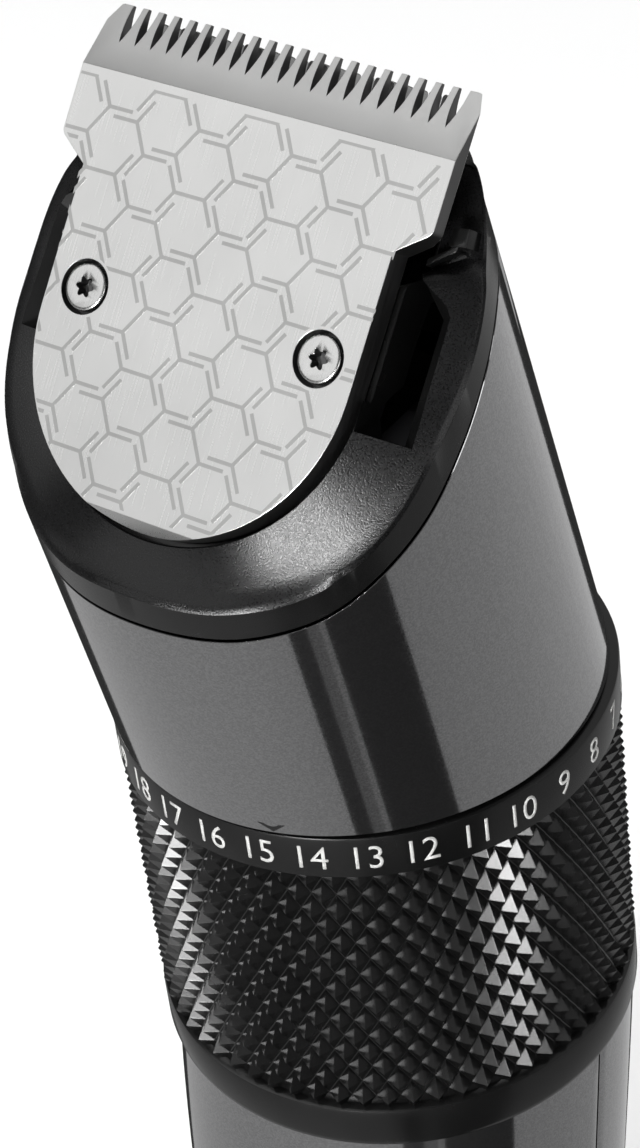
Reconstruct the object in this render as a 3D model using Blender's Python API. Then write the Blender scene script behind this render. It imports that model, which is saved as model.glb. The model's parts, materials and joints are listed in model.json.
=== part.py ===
"""Cordless beard trimmer: the working model, one object for each separate piece.

Sizes are in millimetres in the constants and become metres in millimetre points (see mm).
World frame: origin at the centre of the flat tail face, +Z up the handle, -Y the blade side.
The length dial turns about a vertical axis at y = DIAL_Y. The head leans forward above it.
"""
from math import atan2, ceil, cos, hypot, pi, radians, sin, sqrt, tan

import bmesh
import bpy
from mathutils import Matrix, Vector

MM = 0.001
AIR = 0.3               # gap between pieces that touch on the real trimmer
RUN = 0.4               # gap between pieces that move past each other
ROUND = 60              # sides of the large round pieces
DIAL_SIDES = 72
INNER_ROUND = 40        # sides of the round pieces inside

# ---- handle -------------------------------------------------------------------------
HANDLE_HEIGHT = 88.6    # tail face to the dial's lower edge
HANDLE_TOP_RADIUS = 19.75
TAIL_HALF_WIDTH = 17.4
TAIL_HALF_DEPTH = 16.4
HANDLE_WALL = 1.8
HANDLE_BEND = 0.1455    # slope of the handle's centre line where it meets the dial
HANDLE_OFFSET = 0.45    # centre line behind the dial axis, at the dial's lower edge
TAIL_CAP_HEIGHT = 6.0
TAIL_ROUND = 2.2
GASKET_HEIGHT = 0.8
GASKET_INSET = 0.5
GASKET_AIR = 0.1        # on each side of the gasket

# ---- dial and chassis ---------------------------------------------------------------
DIAL_HEIGHT = 34.4
DIAL_RADIUS = 20.4      # number band
KNURL_RADIUS = 20.0
COLLAR_RADIUS = 20.3
BAND_HEIGHT = 4.0
COLLAR_HEIGHT = 4.1
PART_GAP = 0.35         # visible joint line above and below the dial
MOTOR_RADIUS = 9.5
MOTOR_LENGTH = 28.0
MOTOR_TOP = 20.0        # above the dial's top edge
MOTOR_CHAMFER = 0.6
BOSS_RADIUS = 3.0
BOSS_HEIGHT = 1.5
BELL_HEIGHT = 2.2
TERMINAL_X = 4.0
TERMINAL_SIZE = (2.0, 0.5, 2.8)
SHAFT_RADIUS = 1.0
CAM_Z = 28.0            # underside of the eccentric's hub
CAM_RADIUS = 3.5
CAM_HEIGHT = 5.5
CAM_PIN_TOP = 40.0
CRADLE_PLATE = 2.0
CRADLE_HALF_WIDTH = 6.6
CRADLE_BACK_LEG = 1.4
MOTOR_SCREW_X = 4.6
MOTOR_SCREW_RADIUS = 0.8
MOTOR_SCREW_HEAD = (1.5, 1.0)   # radius and height
SEAL_INNER_RADIUS = 4.2
SEAL_LIP = (5.0, 0.6)           # radius and height of its raised middle
YOKE_CHEEK = 1.7
YOKE_V = (6.0, 9.5)             # its top, under the moving blade
YOKE_Z = (36.0, 39.5, 40.5)     # its underside, front shoulder and back shoulder
ARM_THICKNESS = 2.2
ARM_DEPTH = 3.6
TUBE_WALL = 1.6
FLANGE_WIDTH = 1.6
FLANGE_HEIGHT = 2.0
GLIDE_THICKNESS = 0.5
RETAINER_HEIGHT = 1.5
TUBE_BELOW_DIAL = 6.0
DETENT_LEVEL = 2.4      # click ball, above the dial's lower edge
DETENT_RADIUS = 1.0
DETENT_HOLE = 1.4
DETENT_SPRING = (0.8, 2.4)      # radius and length, pushed in

# ---- length setting: 30 clicks a turn, half a millimetre a click --------------------
CLICKS_PER_TURN = 30
LIFT_PER_CLICK = 0.5
CLICKS_DOWN = 15        # from the rest setting, 16, down to 1
CLICKS_UP = 4           # from the rest setting up to 20
FOLLOWER_RADIUS = 1.2
FOLLOWER_Z = -20.0      # from the dial's top edge, at rest
FOLLOWER_HELD = 3.6     # length of the pin inside the carriage
GROOVE_DEPTH = 1.6
GROOVE_MARGIN = radians(10)
DISC_HALF_HEIGHT = 2.0
DISC_BORE = 5.0

# ---- head: a cone leaning forward ---------------------------------------------------
HEAD_LEAN = radians(12.67)
SHELL_RADIUS = 19.77    # at the dial's top edge
SHELL_TAPER = 0.0186    # loss of radius per millimetre of height
SHELL_SET_BACK = -0.35  # cone axis at the dial's top edge
SHELL_WALL = 1.6
SPIGOT_DEPTH = 2.0
SPIGOT_WALL = 1.2
# joint line between shell and head frame: (turn round the cone from the front, height)
SEAM = ((0, 22.8), (22, 22.8), (35, 23.6), (45, 24.7), (56, 26.8), (71, 30.4), (85, 34.6),
        (100, 38.7), (115, 41.7), (140, 43.6), (180, 44.6))
BACK_EDGE_Z = 49.4      # where the head's back rounds over to its top

# ---- blade: u across, v along the teeth, h out of the plate, from the screw line -----
BLADE_TILT = radians(40.69)
BLADE_Y = -13.42        # screw line, from the dial axis
BLADE_Z = 41.20         # screw line, above the dial's top edge
PLATE_THICKNESS = 2.2
PLATE_HALF_WIDTH = 16.0
TONGUE_HALF_WIDTH = 13.4
SHOULDER_V = 10.25
NOTCH_V = 8.35
TONGUE_ARC_V = -1.95
TOOTH_COUNT = 20
TOOTH_PITCH = 1.4
TOOTH_TIP_V = 20.3
GULLET_V = 17.45
BEVEL_V = 15.35
TIP_DROP = 1.84
TOOTH_TIP_WIDTH = 0.45
FOOT_FACET_V = -14.48
FOOT_DROP = 0.8
SCREW_SPACING = 20.4
SCREW_RADIUS = 1.0
SCREW_HEAD_RADIUS = 1.7
SCREW_HEAD_HEIGHT = 1.1
SCREW_RECESS_DEPTH = 1.5
CUTTER_THICKNESS = 1.1
CUTTER_TIP_V = 19.15
CUTTER_TEETH = 24
CUTTER_TIP_WIDTH = 0.5
CUTTER_GULLET_V = 16.6
CUTTER_TONGUE = (9.5, 5.0)      # half width and lower end, where the yoke drives it
CUTTER_STROKE = 1.0     # each way from the middle
CARRIER_H = -6.6
CARRIER_TOP_V = 3.0
SCREW_SINK = 0.1        # screw head below the plate's face
SCREW_TIP_INSET = 0.6   # screw tip above the carrier's underside
SPRING_V = (-6.0, 3.6, 8.5)     # the spring's rear end, bend and tip
SPRING_HALF_WIDTH = 9.0
SPRING_LEAF = 0.4
# rim of the head frame, half of it: (u, v, h), closed by a straight bar behind the teeth
RIM = ((0, -19.65, -0.5), (8.0, -18.55, -2.0), (13.3, -15.15, -3.7), (16.75, -11.05, -4.1),
       (18.8, -3.15, -4.4), (19.1, 0.65, -4.8), (18.6, 7.65, -5.0), (17.9, 9.35, -5.0),
       (16.1, 14.25, -5.0), (14.8, 15.95, -5.0), (7.0, 15.95, -5.0), (0, 15.95, -5.0))
BED_H = -1.3            # the frame round the plate's tongue
TOP_BAR_H = -5.0
TOP_BAR_WIDTH = 2.5
LEDGE_WIDTH = 0.9
RIM_CORNER = 9          # the row of RIM where the bar begins
WINDOW_OUTER_U = 16.8
WINDOW_V = (-4.0, 6.0)
BAR_START = (radians(115), radians(6))   # where the recess deepens, and over what angle
BAR_DEEPER = 4.0
LEDGE_HEIGHT = 3.0
OPENING_CORNER = 1.2
# the way of the carriage's posts through the frame, from the dial's axis and top edge
POST_Y = (-11.2, -7.5)
POST_TOP = 34.0
KNEE_Z = 27.0
WAY_LOW = 18.0

# ---- electrics ----------------------------------------------------------------------
BATTERY_RADIUS = 7.1
BATTERY_HOLDER = 1.6    # room between the board and the cell
CELL_CAP_RADIUS = 2.8
CELL_CAP_HEIGHT = 0.9
TAB_THICKNESS = 0.3
TAB_HALF_WIDTH = 2.5
BATTERY_LENGTH = 49.0
BATTERY_Z = 20.0
BOARD_THICKNESS = 1.2
BOARD_HALF_WIDTH = 9.0
BOARD_SET_BACK = 8.3    # board face ahead of the handle's centre line at the button
BOARD_ABOVE_BUTTON = 12.0
SWITCH_RADIUS = 3.0
SWITCH_PLUNGER_RADIUS = 1.6
SWITCH_HEIGHTS = (2.6, 3.5)     # of its body and of its plunger
BUTTON_Z = 61.0
BUTTON_HALF = (4.8, 7.2)
BUTTON_TRAVEL = 0.8
BUTTON_PROUD = 0.75
BEZEL_WIDTH = 1.1
BEZEL_PROUD = 0.35
FRONT_REACH = 3.0       # how far the front cutters start ahead of the handle
LIGHT_Z = 43.0
LIGHT_HALF = (1.1, 2.6)
SOCKET_HALF = (4.5, 1.8)
SOCKET_DEPTH = 7.5
SOCKET_WALL = 0.5
SOCKET_Y = 4.5
SOCKET_LOW = 0.6
SOCKET_BACK_WALL = 1.2
TAIL_SCREW_X = 9.5
TAIL_SCREW = (1.0, 2.0, 0.5, 1.9)       # shank and head radius, head from and to height
TAIL_SCREW_INTO_HANDLE = 4.0
WELL_DEPTH = 2.2

# ---- places that follow from the sizes above ----------------------------------------
DIAL_BOTTOM = HANDLE_HEIGHT
DIAL_TOP = DIAL_BOTTOM + DIAL_HEIGHT
DIAL_Y = HANDLE_BEND * HANDLE_HEIGHT / 2 - HANDLE_OFFSET
ARM_INNER = MOTOR_RADIUS + 2 * RUN
ARM_OUTER = ARM_INNER + ARM_THICKNESS
BAY_RADIUS = hypot(ARM_OUTER, ARM_DEPTH) + 1.5 * RUN
TUBE_RADIUS = BAY_RADIUS + TUBE_WALL
DIAL_BORE = TUBE_RADIUS + RUN
CLICK = 2 * pi / CLICKS_PER_TURN
PLATE_BOTTOM = -PLATE_THICKNESS
CUTTER_TOP = PLATE_BOTTOM - AIR
CUTTER_BOTTOM = CUTTER_TOP - CUTTER_THICKNESS
ECCENTRIC = CUTTER_STROKE
CAM_PIN_RADIUS = 0.9


# ---- helpers ------------------------------------------------------------------------
def mm(x, y, z):
    return Vector((x, y, z)) * MM


def material(name, colour, roughness, metallic=0.0):
    finish = bpy.data.materials.new(name)
    finish.use_nodes = True
    shader = finish.node_tree.nodes["Principled BSDF"]
    shader.inputs["Base Color"].default_value = (*colour, 1.0)
    shader.inputs["Roughness"].default_value = roughness
    shader.inputs["Metallic"].default_value = metallic
    return finish


def new_object(name, vertices, faces, finish, place=None):
    """One closed body from points in millimetres, its faces turned outwards."""
    shape = bmesh.new()
    points = [shape.verts.new(Vector(v) * MM) for v in vertices]
    for face in faces:
        shape.faces.new([points[i] for i in face])
    bmesh.ops.recalc_face_normals(shape, faces=shape.faces)
    mesh = bpy.data.meshes.new(name)
    shape.to_mesh(mesh)
    shape.free()
    piece = bpy.data.objects.new(name, mesh)
    bpy.context.scene.collection.objects.link(piece)
    if finish:
        mesh.materials.append(finish)
    if place is not None:
        piece.matrix_world = place
    mesh.shade_smooth()
    mesh.set_sharp_from_angle(angle=radians(35))
    return piece


def at(x, y, z, turn=None):
    """Placement matrix for a point in millimetres, with an optional rotation."""
    spot = Matrix.Translation(mm(x, y, z))
    return spot @ turn if turn is not None else spot


def bridge(loops, closed):
    """Quads between loops of equal length; closed also joins the last loop to the first."""
    size = len(loops[0])
    vertices = [point for loop in loops for point in loop]
    faces = []
    for k in range(len(loops) if closed else len(loops) - 1):
        low, high = k * size, (k + 1) % len(loops) * size
        for i in range(size):
            j = (i + 1) % size
            faces.append((low + i, low + j, high + j, high + i))
    return vertices, faces


def ring_solid(name, loops, finish, place=None):
    return new_object(name, *bridge(loops, True), finish, place)


def capped_solid(name, loops, finish, place=None):
    vertices, faces = bridge(loops, False)
    size = len(loops[0])
    faces.append(tuple(range(size)))
    faces.append(tuple(range((len(loops) - 1) * size, len(loops) * size)))
    return new_object(name, vertices, faces, finish, place)


def prism(name, outline, low, high, finish, place=None):
    """An outline in the local XY plane, extruded from z = low to z = high."""
    loops = [[(x, y, z) for x, y in outline] for z in (low, high)]
    return capped_solid(name, loops, finish, place)


def block(name, low, high, finish, place=None):
    outline = [(low[0], low[1]), (high[0], low[1]), (high[0], high[1]), (low[0], high[1])]
    return prism(name, outline, low[2], high[2], finish, place)


def side_profile(name, outline, left, right, finish, place=None):
    """An outline in the YZ plane, extruded along X."""
    loops = [[(x, y, z) for y, z in outline] for x in (left, right)]
    return capped_solid(name, loops, finish, place)


def circle(radius, z, sides=ROUND, centre=(0, 0)):
    return [(centre[0] + radius * cos(2 * pi * i / sides),
             centre[1] + radius * sin(2 * pi * i / sides), z) for i in range(sides)]


def turned_ring(name, profile, finish, place=None, sides=ROUND):
    """A profile of (radius, z) that stays off the axis, turned about Z."""
    return ring_solid(name, [circle(r, z, sides) for r, z in profile], finish, place)


def turned(name, profile, finish, place=None, sides=24):
    """A profile of (radius, z) from one flat end to the other, turned about Z."""
    return capped_solid(name, [circle(r, z, sides) for r, z in profile], finish, place)


def oval(half_width, half_height, sides=32, power=2.5):
    """A rounded rectangle, as a superellipse."""
    points = []
    for i in range(sides):
        a = 2 * pi * i / sides
        x = half_width * abs(cos(a)) ** (2 / power) * (1 if cos(a) > 0 else -1)
        y = half_height * abs(sin(a)) ** (2 / power) * (1 if sin(a) > 0 else -1)
        points.append((x, y))
    return points


def boolean(piece, other, operation):
    step = piece.modifiers.new(operation.lower(), "BOOLEAN")
    step.operation = operation
    step.object = other
    step.solver = "EXACT"
    other.hide_render = True
    other.display_type = "WIRE"


def cut(piece, *cutters):
    for cutter in cutters:
        boolean(piece, cutter, "DIFFERENCE")


def between(table, x):
    """Value at x on the smooth curve through a table of (x, value), level at both ends."""
    for k in range(len(table) - 1):
        (x0, y0), (x1, y1) = table[k], table[k + 1]
        if x <= x1:
            break
    before = table[max(k - 1, 0)]
    after = table[min(k + 2, len(table) - 1)]
    slope0 = (y1 - before[1]) / (x1 - before[0]) if k > 0 else 0.0
    slope1 = (after[1] - y0) / (after[0] - x0) if k + 2 < len(table) else 0.0
    t = (x - x0) / (x1 - x0)
    span = x1 - x0
    return ((2 * t**3 - 3 * t**2 + 1) * y0 + (t**3 - 2 * t**2 + t) * span * slope0
            + (3 * t**2 - 2 * t**3) * y1 + (t**3 - t**2) * span * slope1)


# ---- the leaning cone of the head ---------------------------------------------------
def cone_point(turn, height, inset=0.0):
    """Point of the head's cone: turn from the front towards +X, height above the dial."""
    radius = SHELL_RADIUS - SHELL_TAPER * height - inset
    across = radius * sin(turn)
    ahead = radius * cos(turn) / cos(HEAD_LEAN)
    axis_y = DIAL_Y + SHELL_SET_BACK - height * tan(HEAD_LEAN)
    return (across, axis_y - ahead, DIAL_TOP + height)


def cone_turn(point):
    axis_y = DIAL_Y + SHELL_SET_BACK - (point[2] - DIAL_TOP) * tan(HEAD_LEAN)
    return atan2(point[0], (axis_y - point[1]) * cos(HEAD_LEAN))


def seam_height(turn):
    degrees_round = abs(turn) * 180 / pi
    return between(SEAM, min(degrees_round, 180))


# ---- the blade's own frame ----------------------------------------------------------
def blade_point(u, v, h):
    y = DIAL_Y + BLADE_Y + v * sin(BLADE_TILT) - h * cos(BLADE_TILT)
    z = DIAL_TOP + BLADE_Z + v * cos(BLADE_TILT) + h * sin(BLADE_TILT)
    return (u, y, z)


def blade_place(u=0.0):
    """Local X is u, local Y is v, local Z is h; the origin is on the screw line."""
    return at(*blade_point(u, 0, 0), Matrix.Rotation(pi / 2 - BLADE_TILT, 4, "X"))


def tongue_outline(grow=0.0, sides=24, top=None):
    """The plate's narrow part, from its right edge round the foot to its left edge."""
    half = TONGUE_HALF_WIDTH + grow
    top_v = NOTCH_V if top is None else top
    arc = [(half * cos(a), TONGUE_ARC_V + half * sin(a))
           for a in [-pi * i / sides for i in range(sides + 1)]]
    return [(half, top_v)] + arc + [(-half, top_v)]


# ---- the handle's centre line and section -------------------------------------------
def handle_centre(z):
    return HANDLE_BEND * z * z / (2 * HANDLE_HEIGHT)


def handle_section(z):
    t = min(max(z / HANDLE_HEIGHT, 0.0), 1.0)
    blend = t * t * (3 - 2 * t)
    half_width = TAIL_HALF_WIDTH + (HANDLE_TOP_RADIUS - TAIL_HALF_WIDTH) * blend
    half_depth = TAIL_HALF_DEPTH + (HANDLE_TOP_RADIUS - TAIL_HALF_DEPTH) * blend
    return half_width, half_depth


def handle_arc(z, inset, start, end, sides):
    half_width, half_depth = handle_section(z)
    points = []
    for i in range(sides + 1):
        a = start + (end - start) * i / sides
        points.append(((half_width - inset) * cos(a),
                       handle_centre(z) + (half_depth - inset) * sin(a), z))
    return points


def handle_loop(z, inset, sides=ROUND):
    return handle_arc(z, inset, 0, 2 * pi * (sides - 1) / sides, sides - 1)


def handle_front(z):
    return handle_centre(z) - handle_section(z)[1]


def handle_envelope(name, grow, low, high):
    levels = [low + (high - low) * k / 8 for k in range(9)]
    return capped_solid(name, [handle_loop(z, -grow) for z in levels], None)


# ---- blade group --------------------------------------------------------------------
def tooth_row(count, pitch, gullet_v, tip_v, tip_width, left, right):
    """Edge points of a comb from its left end to its right end."""
    points = [(left, tip_v)]
    first = -(count - 1) / 2 * pitch
    points.append((first - pitch + tip_width, tip_v))
    for k in range(count):
        middle = first + k * pitch
        points.append((middle - pitch / 2, gullet_v))
        points.append((middle - tip_width / 2, tip_v))
        points.append((middle + tip_width / 2, tip_v))
    points.append((-first + pitch / 2, gullet_v))
    points.append((-first + pitch - tip_width, tip_v))
    points.append((right, tip_v))
    return points


def fixed_blade(steel):
    teeth = tooth_row(TOOTH_COUNT, TOOTH_PITCH, GULLET_V, TOOTH_TIP_V, TOOTH_TIP_WIDTH,
                      -PLATE_HALF_WIDTH, PLATE_HALF_WIDTH)
    outline = teeth + [(PLATE_HALF_WIDTH, SHOULDER_V)] + tongue_outline()
    outline += [(-PLATE_HALF_WIDTH, SHOULDER_V)]
    plate = prism("fixed_blade", outline, PLATE_BOTTOM, 0, steel, blade_place())
    slope = TIP_DROP / (TOOTH_TIP_V - BEVEL_V)
    reach = 3.0
    wedge = side_profile("fixed_blade_bevel_cutter",
                         [(BEVEL_V, 0), (BEVEL_V + 2 * reach, -2 * reach * slope),
                          (BEVEL_V + 2 * reach, reach), (BEVEL_V, reach)],
                         -PLATE_HALF_WIDTH - 1, PLATE_HALF_WIDTH + 1, None, blade_place())
    foot = side_profile("fixed_blade_foot_cutter",
                        [(FOOT_FACET_V, 0), (FOOT_FACET_V, reach),
                         (FOOT_FACET_V - reach, reach),
                         (FOOT_FACET_V - reach, -FOOT_DROP * reach)],
                        -PLATE_HALF_WIDTH, PLATE_HALF_WIDTH, None, blade_place())
    cut(plate, wedge, foot)
    for side in (-1, 1):
        hole_place = blade_place(side * SCREW_SPACING / 2)
        recess = SCREW_HEAD_RADIUS + AIR
        hole = SCREW_RADIUS + AIR
        cut(plate, turned(f"plate_hole_cutter_{side}",
                          [(hole, -PLATE_THICKNESS - 1), (hole, -SCREW_RECESS_DEPTH),
                           (recess, -SCREW_RECESS_DEPTH), (recess, 1)], None, hole_place))
    return plate


def blade_screw(name, side, steel):
    place = blade_place(side * SCREW_SPACING / 2)
    top = -SCREW_SINK
    seat = top - SCREW_HEAD_HEIGHT
    turned(name, [(SCREW_RADIUS, CARRIER_H + SCREW_TIP_INSET), (SCREW_RADIUS, seat),
                  (SCREW_HEAD_RADIUS, seat), (SCREW_HEAD_RADIUS, top)], steel, place)


def blade_carrier(plastic):
    """The bed the plate is screwed to; it fills the frame's opening below the cutter."""
    outline = tongue_outline(-LEDGE_WIDTH, top=CARRIER_TOP_V)
    bed = prism("blade_carrier", outline, CARRIER_H, PLATE_BOTTOM - AIR, plastic,
                blade_place())
    for side in (-1, 1):
        hole_place = blade_place(side * SCREW_SPACING / 2)
        hole = SCREW_RADIUS + AIR
        cut(bed, turned(f"bed_hole_cutter_{side}",
                        [(hole, CARRIER_H - 1), (hole, 0)], None, hole_place))
    return bed


def moving_blade(steel):
    half = (TOOTH_COUNT * TOOTH_PITCH - TOOTH_PITCH) / 2
    pitch = 2 * half / CUTTER_TEETH
    teeth = tooth_row(CUTTER_TEETH - 1, pitch, CUTTER_GULLET_V, CUTTER_TIP_V,
                      CUTTER_TIP_WIDTH, -half, half)
    tongue, tongue_v = CUTTER_TONGUE
    low = SHOULDER_V + RUN
    outline = teeth + [(half, low), (tongue, low), (tongue, tongue_v), (-tongue, tongue_v),
                       (-tongue, low), (-half, low)]
    cutter = prism("moving_blade", outline, CUTTER_BOTTOM, CUTTER_TOP, steel, blade_place())
    ground_from = CUTTER_GULLET_V - 2
    past_tips = CUTTER_TIP_V + 1
    thin = side_profile("moving_blade_back_cutter",
                        [(ground_from, CUTTER_BOTTOM), (ground_from, CUTTER_BOTTOM - 1),
                         (past_tips, CUTTER_BOTTOM - 1),
                         (past_tips, CUTTER_BOTTOM + CUTTER_THICKNESS / 2)],
                        -half - 1, half + 1, None, blade_place())
    cut(cutter, thin)


def cutter_yoke(plastic):
    """Rides under the moving blade; its slot takes the eccentric pin.

    The slot is as wide as the pin's circle and the cutter's travel together, because the
    pin and the cutter are free of each other in this model."""
    slot_x = CAM_PIN_RADIUS + ECCENTRIC + CUTTER_STROKE + AIR
    slot_y = CAM_PIN_RADIUS + ECCENTRIC + AIR
    front = blade_point(0, YOKE_V[0], CUTTER_BOTTOM - AIR)
    back = blade_point(0, YOKE_V[1], CUTTER_BOTTOM - AIR)
    depth = slot_y + YOKE_CHEEK
    width = slot_x + YOKE_CHEEK
    low, front_shoulder, back_shoulder = [DIAL_TOP + z for z in YOKE_Z]
    outline = [(DIAL_Y - depth, low), (DIAL_Y + depth, low), (DIAL_Y + depth, back_shoulder),
               back[1:], front[1:], (DIAL_Y - depth, front_shoulder)]
    yoke = side_profile("cutter_yoke", outline, -width, width, plastic)
    cut(yoke, block("yoke_slot_cutter", (-slot_x, DIAL_Y - slot_y, low - 1),
                    (slot_x, DIAL_Y + slot_y, back[2] + 1), None))


def blade_spring(steel):
    """A flat fork that presses the moving blade up against the fixed one."""
    rear, bend, tip = SPRING_V
    below = CARRIER_H - 2 * AIR
    path = [(rear, below), (bend, below + AIR / 3), (tip, CUTTER_BOTTOM - RUN)]
    outline = path + [(v, h - SPRING_LEAF) for v, h in reversed(path)]
    spring = side_profile("blade_spring", outline, -SPRING_HALF_WIDTH, SPRING_HALF_WIDTH,
                          steel, blade_place())
    gap = CAM_PIN_RADIUS + ECCENTRIC + YOKE_CHEEK + 2 * (CUTTER_STROKE + RUN)
    cut(spring, block("spring_slot_cutter", (-gap, rear + 4, 2 * CARRIER_H),
                      (gap, tip + 1, 0), None, blade_place()))


# ---- head ---------------------------------------------------------------------------
def rim_point(angle):
    """The rim at an angle round the screw line's middle, 0 at the foot, in (u, v, h)."""
    side = 1 if sin(angle) >= 0 else -1
    turn = atan2(abs(sin(angle)), cos(angle))
    spread = [(atan2(u, -v), hypot(u, v), h) for u, v, h in RIM]
    if turn > spread[RIM_CORNER][0]:
        reach = RIM[-1][1] / -cos(turn)
        return (side * reach * sin(turn), RIM[-1][1], TOP_BAR_H)
    curved = spread[:RIM_CORNER + 1]
    reach = between([(a, r) for a, r, h in curved], turn)
    drop = between([(a, h) for a, r, h in curved], turn)
    return (side * reach * sin(turn), -reach * cos(turn), drop)


def opening_point(angle, grow):
    """The edge of the frame's opening round the plate, in (u, v)."""
    side = 1 if sin(angle) >= 0 else -1
    turn = atan2(abs(sin(angle)), cos(angle))
    half = TONGUE_HALF_WIDTH + grow
    top = RIM[-1][1] - TOP_BAR_WIDTH + grow
    corner = half - OPENING_CORNER
    if turn > atan2(corner, -top):
        reach = top / -cos(turn)
    elif turn > pi / 2:
        reach = min(half / sin(turn), hypot(corner, top))
    else:
        along = TONGUE_ARC_V * cos(turn)
        reach = -along + sqrt(along * along + half * half - TONGUE_ARC_V ** 2)
        if reach * -cos(turn) > TONGUE_ARC_V:
            reach = half / sin(turn)
    return (side * reach * sin(turn), -reach * cos(turn))


def head_frame(plastic):
    """The black frame: outer band on the cone, bowl, recess for the plate, spigot below."""
    angles = [2 * pi * (i + 0.5) / ROUND for i in range(ROUND)]
    corner = atan2(RIM[RIM_CORNER][0], -RIM[RIM_CORNER][1])
    last = abs(cone_turn(blade_point(*RIM[RIM_CORNER])))
    deep = SHELL_WALL + AIR
    loops = {k: [] for k in ("seam", "edge", "rim", "bed", "ledge_top", "ledge", "under",
                             "spigot_in", "spigot_end_in", "spigot_end", "spigot")}
    for angle in angles:
        side = 1 if sin(angle) >= 0 else -1
        turn = atan2(abs(sin(angle)), cos(angle))
        rim = blade_point(*rim_point(angle))
        if turn <= corner:
            around = cone_turn(rim)
            edge_height = rim[2] - DIAL_TOP - RUN
        else:
            around = side * (last + (pi - last) * (turn - corner) / (pi - corner))
            edge_height = BACK_EDGE_Z
        seam = seam_height(around)
        steep = min(max((turn - BAR_START[0]) / BAR_START[1], 0), 1)
        open_h = BED_H + (TOP_BAR_H - BED_H) * steep
        floor_h = PLATE_BOTTOM - AIR - BAR_DEEPER * steep
        grown = opening_point(angle, AIR)
        inner = opening_point(angle, AIR - LEDGE_WIDTH)
        loops["seam"].append(cone_point(around, seam))
        loops["edge"].append(cone_point(around, max(edge_height, seam + AIR)))
        loops["rim"].append(rim)
        loops["bed"].append(blade_point(*grown, open_h))
        loops["ledge_top"].append(blade_point(*grown, floor_h))
        loops["ledge"].append(blade_point(*inner, floor_h))
        loops["under"].append(blade_point(*inner, floor_h - LEDGE_HEIGHT))
        loops["spigot_in"].append(cone_point(around, seam - AIR, deep + SPIGOT_WALL))
        loops["spigot_end_in"].append(cone_point(around, seam - SPIGOT_DEPTH,
                                                 deep + SPIGOT_WALL))
        loops["spigot_end"].append(cone_point(around, seam - SPIGOT_DEPTH, deep))
        loops["spigot"].append(cone_point(around, seam, deep))
    frame = ring_solid("head_frame", list(loops.values()), plastic)
    for side in (-1, 1):
        low, high = sorted((side * (TONGUE_HALF_WIDTH + AIR), side * WINDOW_OUTER_U))
        window = block(f"window_cutter_{side}", (low, WINDOW_V[0], 2 * CARRIER_H),
                       (high, WINDOW_V[1], 2), None, blade_place())
        low, high = sorted((side * (ARM_INNER - RUN), side * (WINDOW_OUTER_U - RUN)))
        clear = POST_TOP + CLICKS_UP * LIFT_PER_CLICK + 3 * RUN
        way = block(f"carriage_way_cutter_{side}",
                    (low, DIAL_Y + POST_Y[0] - 1.5 * RUN, DIAL_TOP + WAY_LOW),
                    (high, DIAL_Y + POST_Y[1] + 1.5 * RUN, DIAL_TOP + clear), None)
        cut(frame, window, way)


def upper_shell(paint):
    turns = [2 * pi * i / ROUND for i in range(ROUND)]
    wrapped = [turn if turn <= pi else turn - 2 * pi for turn in turns]
    outer, inner = [], []
    for share in (0.0, 0.5, 1.0):
        heights = [PART_GAP + (seam_height(t) - AIR - PART_GAP) * share for t in wrapped]
        outer.append([cone_point(t, z) for t, z in zip(wrapped, heights)])
        inner.append([cone_point(t, z, SHELL_WALL) for t, z in zip(wrapped, heights)])
    ring_solid("upper_shell", outer + inner[::-1], paint)


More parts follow.
